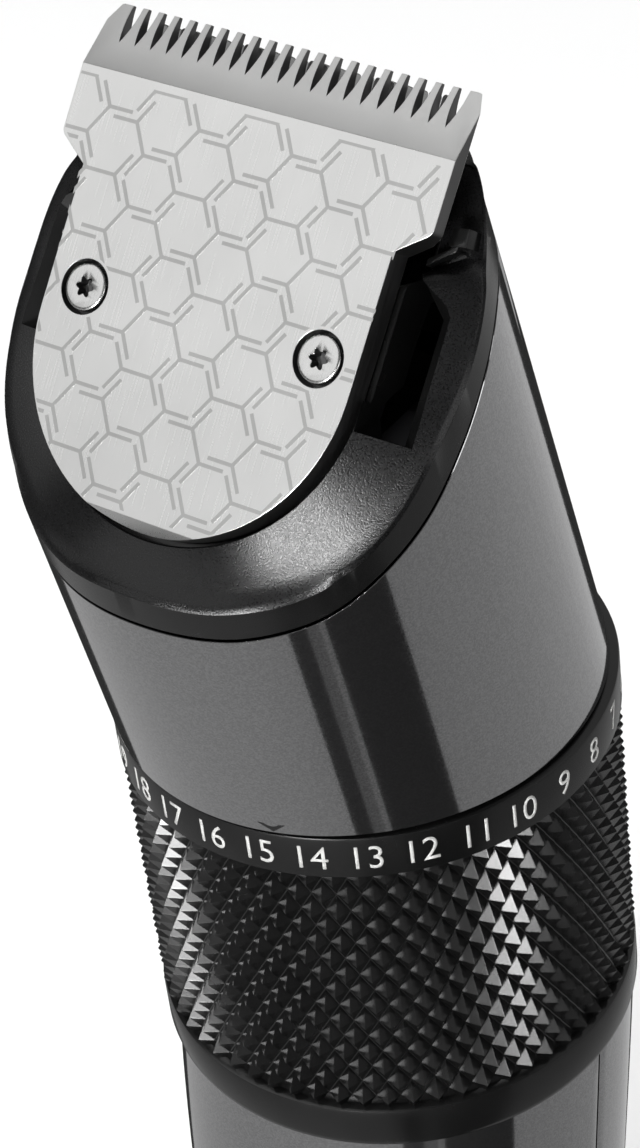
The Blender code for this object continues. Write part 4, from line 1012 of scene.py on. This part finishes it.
# %% Knurl pyramids
COLUMNS = 62
ROWS = 15
CELL_WIDE = 2 * pi * FLOOR_RADIUS / COLUMNS
ROW_STEP = (DIAL_H - BAND_HEIGHT - COLLAR_TOP - 0.2) / ROWS
PYRAMID = 0.93
PYRAMID_TIP = 0.05


def knurl_pyramid():
    """A diamond pyramid that points along local X, with its foot just under the floor."""
    half_wide, half_tall, foot = CELL_WIDE * 0.5, ROW_STEP * 0.98, -0.05
    base = [(foot, half_wide, 0), (foot, 0, half_tall), (foot, -half_wide, 0),
            (foot, 0, -half_tall)]
    across, up = PYRAMID_TIP, PYRAMID_TIP * 1.6
    top = [(PYRAMID, across, 0), (PYRAMID, 0, up), (PYRAMID, -across, 0), (PYRAMID, 0, -up)]
    return capped_piece("pyramid", [base, top], dial_black, sharp=10)


points, turns = [], []
for row in range(ROWS):
    z = DIAL_BOTTOM + COLLAR_TOP + 0.1 + ROW_STEP * (row + 0.5)
    for column in range(COLUMNS):
        a = 2 * pi * (column + 0.5 * (row % 2)) / COLUMNS
        points.append((FLOOR_RADIUS * cos(a), DIAL_Y + FLOOR_RADIUS * sin(a), z))
        turns.append((0, 0, a))
knurl = scatter("dial_knurl", points, turns, knurl_pyramid(), dial_black)
print("pyramids:", len(points), "faces:", len(knurl.data.polygons))

# %% Faint mould seam on the band and the collar
SEAM_TURN = radians(43)


def mould_seam(low, high, radius):
    half, proud = 0.035, 0.02
    rows = [[(r * sin(SEAM_TURN) + side * half * cos(SEAM_TURN),
              DIAL_Y - r * cos(SEAM_TURN) + side * half * sin(SEAM_TURN), z)
             for r, side in ((radius - 0.05, -1), (radius + proud, -1), (radius + proud, 1),
                             (radius - 0.05, 1))] for z in (low, high)]
    return capped_piece("mould_seam", rows, dial_black)


seams = [mould_seam(DIAL_TOP - 3.85, DIAL_TOP - 0.3, DIAL_RADIUS),
         mould_seam(DIAL_BOTTOM + 0.8, DIAL_BOTTOM + COLLAR_TOP - 0.4, COLLAR_RADIUS)]

# %% Numbers on the band
NUMBER_TALL = 2.25
NUMBER_NARROW = 0.92
NUMBER_Z = DIAL_TOP - 1.95
REST_NUMBER = 16
NUMBER_STEP = 12
REST_TURN = -1.1


def number_mesh(text):
    """Type as a flat mesh, centred, NUMBER_TALL high, in millimetres."""
    curve = bpy.data.curves.new("number", "FONT")
    curve.body = text
    curve.align_x = "CENTER"
    curve.resolution_u = 4
    curve.offset = -0.004
    holder = in_scene("number", curve)
    bpy.context.view_layer.update()
    graph = bpy.context.evaluated_depsgraph_get()
    mesh = bpy.data.meshes.new_from_object(holder.evaluated_get(graph))
    bpy.data.objects.remove(holder)
    low = min(v.co.y for v in mesh.vertices)
    tall = max(v.co.y for v in mesh.vertices) - low
    middle = (min(v.co.x for v in mesh.vertices) + max(v.co.x for v in mesh.vertices)) / 2
    scale = NUMBER_TALL / tall
    for v in mesh.vertices:
        v.co = ((v.co.x - middle) * scale * NUMBER_NARROW,
                (v.co.y - low) * scale - NUMBER_TALL / 2, 0)
    return mesh


def number_piece():
    shape = bmesh.new()
    for number in range(1, 21):
        flat = number_mesh(str(number))
        turn = radians(REST_TURN + (REST_NUMBER - number) * NUMBER_STEP)
        letter = bmesh.new()
        letter.from_mesh(flat)
        bmesh.ops.remove_doubles(letter, verts=letter.verts, dist=1e-5)
        lid = list(letter.faces)
        grown = bmesh.ops.extrude_face_region(letter, geom=lid, use_keep_orig=True)
        raised = {v for v in grown["geom"] if isinstance(v, bmesh.types.BMVert)}
        for v in letter.verts:
            radius = DIAL_RADIUS + (0.035 if v in raised else -0.03)
            a = turn + v.co.x / DIAL_RADIUS
            v.co = Vector((radius * sin(a), DIAL_Y - radius * cos(a), NUMBER_Z + v.co.y)) * MM
        bmesh.ops.recalc_face_normals(letter, faces=letter.faces)
        shape.from_mesh(finished_mesh("done", letter))
    mesh = finished_mesh("dial_numbers", shape)
    mesh.materials.append(ink)
    return in_scene("dial_numbers", mesh)


numbers = number_piece()
print("number faces:", len(numbers.data.polygons))

# %% [markdown]
# ## The handle
# Two lacquered half shells meet at the sides. The section shrinks gently towards the tail, and
# the centre line curves, so each shell is lofted from arcs with a small radius at its joint.

# %% Section of the handle at a height
HANDLE_TOP = DIAL_BOTTOM
TOP_RADIUS = 19.75
TAIL_WIDE, TAIL_DEEP = 17.4, 16.4
SHELL_LOW = 7.0
HANDLE_WALL = 1.8


def handle_centre(z):
    return HANDLE_BEND * z * z / (2 * HANDLE_TOP)


def handle_section(z):
    t = min(max(z / HANDLE_TOP, 0.0), 1.0)
    mix = t * t * (3 - 2 * t)
    return TAIL_WIDE + (TOP_RADIUS - TAIL_WIDE) * mix, TAIL_DEEP + (TOP_RADIUS - TAIL_DEEP) * mix


def handle_point(a, z, inset=0.0):
    wide, deep = handle_section(z)
    return ((wide - inset) * cos(a), handle_centre(z) + (deep - inset) * sin(a), z)


RING_SIDES = 240


def handle_ring(z, inset=0.0):
    return [handle_point(2 * pi * i / RING_SIDES, z, inset) for i in range(RING_SIDES)]


def half_shell(name, start):
    """Half of the handle, from angle start round by half a turn."""
    sides, levels = 120, 40
    lip = 0.12
    high = HANDLE_TOP - PART_GAP
    gap = 0.09 / TAIL_DEEP
    heights = [SHELL_LOW, SHELL_LOW + lip]
    heights += [SHELL_LOW + lip + (high - SHELL_LOW - 2 * lip) * k / levels
                for k in range(1, levels)]
    heights += [high - lip, high]
    rows = []
    for z in heights:
        inset = lip if z in (SHELL_LOW, high) else 0.0
        outer = []
        for k in range(sides + 1):
            a = start + gap + (pi - 2 * gap) * k / sides
            near_joint = lip if k in (0, sides) else 0.0
            outer.append(handle_point(a, z, max(inset, near_joint)))
        inner = [handle_point(start + gap + (pi - 2 * gap) * k / sides, z, HANDLE_WALL)
                 for k in range(sides, -1, -1)]
        rows.append(outer + inner)
    return capped_piece(name, rows, lacquer)


front_shell = half_shell("front_half_shell", pi)
rear_shell = half_shell("rear_half_shell", 0.0)
print("shell faces:", len(front_shell.data.polygons))


# %% [markdown]
# ### Button, bezel and charge light
# The button stands in a chromed bezel and follows the curve of the shell. An upright outline is
# pushed through a copy of the handle grown by a fraction of a millimetre, and their overlap is
# the piece, so its face has exactly the handle's curve.

# %% Outlines pushed through a grown handle
def oval(half_wide, half_tall, power=2.5, sides=72):
    points = []
    for i in range(sides):
        a = 2 * pi * i / sides
        x = half_wide * abs(cos(a)) ** (2 / power) * (1 if cos(a) > 0 else -1)
        y = half_tall * abs(sin(a)) ** (2 / power) * (1 if sin(a) > 0 else -1)
        points.append((x, y))
    return points


def handle_body(grow, low, high, levels=24):
    rows = [handle_ring(low + (high - low) * k / levels, -grow) for k in range(levels + 1)]
    return capped_piece("handle_body", rows, lacquer)


def upright(name, outline, z, depth, finish, lift=0.0):
    """An outline in a front view, from before the handle's front at height z to a depth."""
    front = handle_centre(z) - handle_section(z)[1]
    rows = [[(x, y, z + lift + tall) for x, tall in outline]
            for y in (front - IN_FRONT, front + depth)]
    return capped_piece(name, rows, finish)


def on_handle(name, outline, z, depth, finish, grow, reach, lift=0.0):
    """An upright piece whose face has the curve of the handle grown by a little."""
    piece = upright(name, outline, z, depth, finish, lift)
    return cut(piece, handle_body(grow, z - reach, z + reach), operation="INTERSECT")


BUTTON_Z, BUTTON_WIDE, BUTTON_TALL = 61.0, 4.8, 7.2
RING = 1.1
LIGHT_Z, LIGHT_WIDE, LIGHT_TALL = 43.0, 1.1, 2.6
IN_FRONT = 3
THROUGH = 6             # deeper than the shell's wall
BEZEL_PROUD, CAP_PROUD, LIGHT_PROUD, INK_PROUD = 0.35, 0.6, 0.02, 0.63
ring_wide, ring_tall = BUTTON_WIDE + AIR + RING, BUTTON_TALL + AIR + RING
cut(front_shell,
    upright("hole", oval(ring_wide + 0.1, ring_tall + 0.1), BUTTON_Z, THROUGH, lacquer),
    upright("hole", oval(LIGHT_WIDE + 0.1, LIGHT_TALL + 0.1), LIGHT_Z, THROUGH, lacquer))
shade(front_shell.data, 30)
bezel = on_handle("button_surround", oval(ring_wide, ring_tall), BUTTON_Z, 2.4, chrome,
                  BEZEL_PROUD, 12)
cut(bezel, upright("bore", oval(BUTTON_WIDE + 0.15, BUTTON_TALL + 0.15), BUTTON_Z, THROUGH,
                   chrome))
soften(bezel, 0.22, 3, 40)
button = on_handle("button_cap", oval(BUTTON_WIDE, BUTTON_TALL), BUTTON_Z, 5.0, dial_black,
                   CAP_PROUD, 12)
soften(button, 0.3, 3, 40)
light = on_handle("light_window", oval(LIGHT_WIDE, LIGHT_TALL), LIGHT_Z, 2.6, window_clear,
                  LIGHT_PROUD, 6)
soften(light, 0.1, 2, 40)
print("button faces:", len(button.data.polygons))

# %% Power symbol on the button: a ring with a gap and a bar
SYMBOL_R, SYMBOL_LINE = 1.5, 0.34
GAP_HALF, SYMBOL_STEPS = 25, 40


def power_symbol():
    half = SYMBOL_LINE / 2
    arc = [radians(90 + GAP_HALF + (360 - 2 * GAP_HALF) * k / SYMBOL_STEPS)
           for k in range(SYMBOL_STEPS + 1)]
    inside, outside = [[(r * cos(a), r * sin(a)) for a in arc]
                       for r in (SYMBOL_R - half, SYMBOL_R + half)]
    bar = [(-half, 0.35), (half, 0.35), (half, 1.95), (-half, 1.95)]
    marks = [on_handle(name, outline, BUTTON_Z, 2, ink, INK_PROUD, 4, 0.2)
             for name, outline in (("symbol_ring", inside + outside[::-1]), ("symbol_bar", bar))]
    for mark in marks:
        mark.data.shade_flat()
    return marks


ring_mark, bar_mark = power_symbol()
print("symbol faces:", len(ring_mark.data.polygons), len(bar_mark.data.polygons))

# %% [markdown]
# ## The tail
# A black cap closes the handle and is the face the trimmer stands on. It holds the charge socket
# and two screws. A soft gasket shows as a dark line between cap and shells.

# %% Tail cap with its rounded foot
TAIL_H = 6.0
TAIL_ROUND = 2.2
TAIL_STEPS = 12
TAIL_EDGE = 0.15


def tail_loops():
    rows = []
    for k in range(TAIL_STEPS + 1):
        a = pi / 2 * k / TAIL_STEPS
        rows.append(handle_ring(TAIL_ROUND - TAIL_ROUND * cos(a),
                                TAIL_ROUND - TAIL_ROUND * sin(a)))
    return rows + [handle_ring(TAIL_H - TAIL_EDGE), handle_ring(TAIL_H, TAIL_EDGE)]


SOCKET_Y, SOCKET_WIDE, SOCKET_DEEP = 4.5, 4.5, 1.8
SOCKET_LOW, SOCKET_HIGH, SOCKET_WALL = 0.6, 8.1, 0.35
SCREW_X = 9.5
WELL_R, WELL_DEPTH, BORE_R = 2.3, 2.2, 1.3
tail = capped_piece("tail_cover", tail_loops(), eroded_black)
socket_place = Matrix.Translation((0, SOCKET_Y * MM, 0))
mouth = prism("mouth", oval(SOCKET_WIDE + AIR, SOCKET_DEEP + AIR, 4), -1, TAIL_H + 1,
              eroded_black, place=socket_place)
wells = [turned("well", [(WELL_R, -1), (WELL_R, WELL_DEPTH), (BORE_R, WELL_DEPTH),
                         (BORE_R, TAIL_H + 1)], eroded_black,
                place=Matrix.Translation((x * MM, 0, 0))) for x in (-SCREW_X, SCREW_X)]
cut(tail, mouth, *wells)
shade(tail.data, 30)
print("tail faces:", len(tail.data.polygons))

# %% Socket shell with its tongue, and two cross-head screws
socket = prism("socket_shell", oval(SOCKET_WIDE, SOCKET_DEEP, 4), SOCKET_LOW, SOCKET_HIGH,
               chrome, place=socket_place)
cut(socket, prism("cavity", oval(SOCKET_WIDE - SOCKET_WALL, SOCKET_DEEP - SOCKET_WALL, 4), -1,
                  7.0, chrome, place=socket_place))
soften(socket, 0.08, 2, 40)
tongue_block = prism("socket_tongue", oval(3.2, 0.35, 6), 2.0, 6.9, socket_black,
                     place=socket_place)
soften(tongue_block, 0.08, 2, 40)
ARM_LONG, ARM_HALF, ARM_DEPTH = 1.15, 0.22, 1.3


def cross_screw(name, x):
    place = Matrix.Translation((x * MM, 0, 0))
    arms = []
    screw = turned(name, [(1.0, 9.8), (1.0, 2.0), (2.0, 1.9), (2.0, 0.9), (1.8, 0.6),
                          (1.3, 0.5)], zinc_steel, sides=48, place=place)
    for w, t in ((ARM_LONG, ARM_HALF), (ARM_HALF, ARM_LONG)):
        arms.append(prism("slot", [(-w, -t), (w, -t), (w, t), (-w, t)], -1, ARM_DEPTH,
                          zinc_steel, place=place))
    cut(screw, *arms)
    return soften(screw, 0.05, 2, 35)


tail_screws = [cross_screw("tail_screw_head_left", -SCREW_X),
               cross_screw("tail_screw_head_right", SCREW_X)]
print("tail screw faces:", [len(screw.data.polygons) for screw in tail_screws])

# %% [markdown]
# ## Ride and replace
# Each piece rides on the body that carries the real one, and says which working solid it stands
# for. The parts that stay hidden inside keep their solids and get a finish of their own.

# %% Every piece to its body
pieces = (
    (plate, "housing", "blade_steel", ("fixed_blade",)),
    (etching, "housing", "blade_steel", ()),
    (screws[0], "housing", "blade_steel", ("blade_screw_left",)),
    (screws[1], "housing", "blade_steel", ("blade_screw_right",)),
    (cutter, "cutter", "blade_steel", ("moving_blade",)),
    (head, "housing", "black_frame", ("head_frame",)),
    (lugs[0], "housing", "black_frame", ()),
    (lugs[1], "housing", "black_frame", ()),
    (sleeve, "housing", "gunmetal_paint", ("upper_shell",)),
    (pointer, "housing", "black_frame", ()),
    (ring, "dial", "black_dial", ("length_dial",)),
    (knurl, "dial", "black_dial", ()),
    (numbers, "dial", "black_dial", ()),
    (seams[0], "dial", "black_dial", ()),
    (seams[1], "dial", "black_dial", ()),
    (front_shell, "housing", "gunmetal_paint", ("front_handle_shell",)),
    (rear_shell, "housing", "gunmetal_paint", ("rear_handle_shell",)),
    (bezel, "housing", "chrome", ("button_bezel",)),
    (button, "button", "black_dial", ("power_button",)),
    (ring_mark, "button", "black_dial", ()),
    (bar_mark, "button", "black_dial", ()),
    (light, "housing", "light_window", ("charge_light_window",)),
    (tail, "housing", "black_frame", ("tail_cap",)),
    (socket, "housing", "spring_steel", ("charge_socket",)),
    (tongue_block, "housing", "inner_plastic", ()),
    (tail_screws[0], "housing", "spring_steel", ("tail_screw_left",)),
    (tail_screws[1], "housing", "spring_steel", ("tail_screw_right",)),
)
for piece, body, slot, nodes in pieces:
    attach(piece, body)
    if nodes:
        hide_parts(*nodes)
print("pieces:", len(pieces))

# %% Finishes for the solids that stay
slot_finish = {"inner_plastic": inner_black, "nylon": natural_nylon, "rubber": rubber,
               "brass": brass, "spring_steel": zinc_steel, "circuit_board": board_green}
replaced = {node for entry in pieces for node in entry[3]}
for part in frame["record"]["subparts"]:
    if part["node"] not in replaced:
        data = frame["nodes"][part["node"]].data
        data.materials.clear()
        data.materials.append(slot_finish[part["material_slot"]])
print("solids kept:", len(frame["nodes"]) - len(replaced))

# %% [markdown]
# ## Stage, light and camera
# The trimmer stands on a plain pale floor in soft white light. A long lens looks down on the head
# from the front right. Cards that only reflections can see give the lacquer its light and dark
# bands, as reflectors and flags do in a studio.

# %% Floor and world
floor_finish, floor_tree, floor_shader, floor_where = new_material("pale_floor", "#F4F4F4", 0.9)
drive(floor_shader, "Base Color",
      tint(floor_tree, grain(floor_tree, floor_where, 400.0), "#F2F2F2", "#F6F6F6"))
FLOOR = 4000
floor = new_piece("floor", [(-FLOOR, -FLOOR, 0), (FLOOR, -FLOOR, 0), (FLOOR, FLOOR, 0),
                            (-FLOOR, FLOOR, 0)], [(0, 1, 2, 3)], floor_finish)
floor.visible_glossy = False
world = bpy.data.worlds.new("studio")
bpy.context.scene.world = world
world.use_nodes = True
world.node_tree.nodes["Background"].inputs["Color"].default_value = (1, 1, 1, 1)
world.node_tree.nodes["Background"].inputs["Strength"].default_value = 0.1


# %% Soft boxes, aimed at the head
def softbox(name, azimuth, lift, away, size_mm, radiance):
    """An area light by its place round the head (degrees) and its brightness."""
    data = bpy.data.lights.new(name, "AREA")
    data.shape = "RECTANGLE"
    data.size, data.size_y = [size * MM for size in size_mm]
    data.energy = radiance * pi * data.size * data.size_y
    lamp = in_scene(name, data)
    a, e = radians(azimuth), radians(lift)
    aside = Vector((sin(a) * cos(e), -cos(a) * cos(e), sin(e)))
    lamp.location = (blade_point(0, -6, 0) + aside * away) * MM
    lamp.rotation_euler = aside.to_track_quat("Z", "Y").to_euler()


softbox("plate_panel", -42, 53, 700, (700, 800), 0.93)
softbox("front_key", 11, 5, 600, (160, 210), 44)
softbox("knurl_panel", 72, 20, 900, (620, 260), 2.2)
softbox("right_panel", 110, 20, 700, (120, 420), 0.8)
softbox("back_panel", 180, 45, 900, (1400, 900), 0.35)
sky = bpy.data.lights.new("room", "SUN")
sky.energy = 2.2
sky.angle = radians(70)
room = in_scene("room", sky)
room.rotation_euler = (radians(14), radians(-10), 0)
room.visible_glossy = False


# %% Cards that only reflections see, laid as sectors round the foot
CARD_NEAR, CARD_FAR = 22, 1500


def card(name, start_degrees, end_degrees, grey):
    """A flat sector on the floor; degrees are measured from -Y towards +X."""
    sides = 12
    angles = [radians(start_degrees + (end_degrees - start_degrees) * k / sides)
              for k in range(sides + 1)]
    edge = [(r * sin(a), DIAL_Y - r * cos(a), 0.5)
            for r, row in ((CARD_NEAR, angles), (CARD_FAR, angles[::-1])) for a in row]
    finish, tree, shader, where = new_material(name + "_card", "#101010", 0.9)
    shader.inputs["Emission Color"].default_value = (1, 1, 1, 1)
    drive(shader, "Emission Strength",
          ramp(tree, grain(tree, where, 900.0), grey * 0.97, grey * 1.03))
    piece = new_piece(name, edge, [tuple(range(len(edge)))], finish)
    for kind in ("camera", "diffuse", "shadow", "transmission"):
        setattr(piece, "visible_" + kind, False)
    return piece


CARDS = ((-102, 0.40), (-84, 0.40), (-50, 0.35), (0, 0.31), (29, 0.26), (29, 0.01),
         (38, 0.01), (38, 0.10), (44, 0.10), (44, 0.18), (47, 0.18), (47, 0.006), (79, 0.006),
         (79, 0.24), (120, 0.31), (160, 0.42), (186, 0.55), (186, 0.015), (258, 0.015))
SECTOR = 6
for (start, first), (end, last) in zip(CARDS, CARDS[1:]):
    count = max(round((end - start) / SECTOR), 1) if first != last else int(end > start)
    for k in range(count):
        low_angle = start + (end - start) * k / count
        high_angle = start + (end - start) * (k + 1) / count
        if high_angle > low_angle:
            card(f"card_{round(low_angle)}", low_angle, high_angle,
                 first + (last - first) * (k + 0.5) / count)

# %% Camera: a long lens from the front right, looking down
CAMERA_AZIMUTH = radians(39.6303)
CAMERA_LIFT = radians(37.8946)
CAMERA_ROLL = radians(-7.6226)
CAMERA_REACH = 259.27
CAMERA_SLIDE = (-3.50, 7.24)
LENS = 101.66
back = Vector((sin(CAMERA_AZIMUTH) * cos(CAMERA_LIFT), -cos(CAMERA_AZIMUTH) * cos(CAMERA_LIFT),
               sin(CAMERA_LIFT)))
right = Vector((cos(CAMERA_AZIMUTH), sin(CAMERA_AZIMUTH), 0))
up = back.cross(right)
right, up = (right * cos(CAMERA_ROLL) + up * sin(CAMERA_ROLL),
             up * cos(CAMERA_ROLL) - right * sin(CAMERA_ROLL))
dial_centre = Vector((0, DIAL_Y, DIAL_TOP))
eye = dial_centre + back * CAMERA_REACH + right * CAMERA_SLIDE[0] + up * CAMERA_SLIDE[1]
lens = bpy.data.cameras.new("camera")
lens.lens = LENS
lens.sensor_width = 36
lens.clip_start = 0.01
camera = in_scene("camera", lens)
turn = Matrix((right, up, back)).transposed().to_4x4()
camera.matrix_world = Matrix.Translation(eye * MM) @ turn
bpy.context.scene.camera = camera
bpy.context.scene.view_settings.view_transform = "Standard"
print("camera at", [round(c, 1) for c in eye])
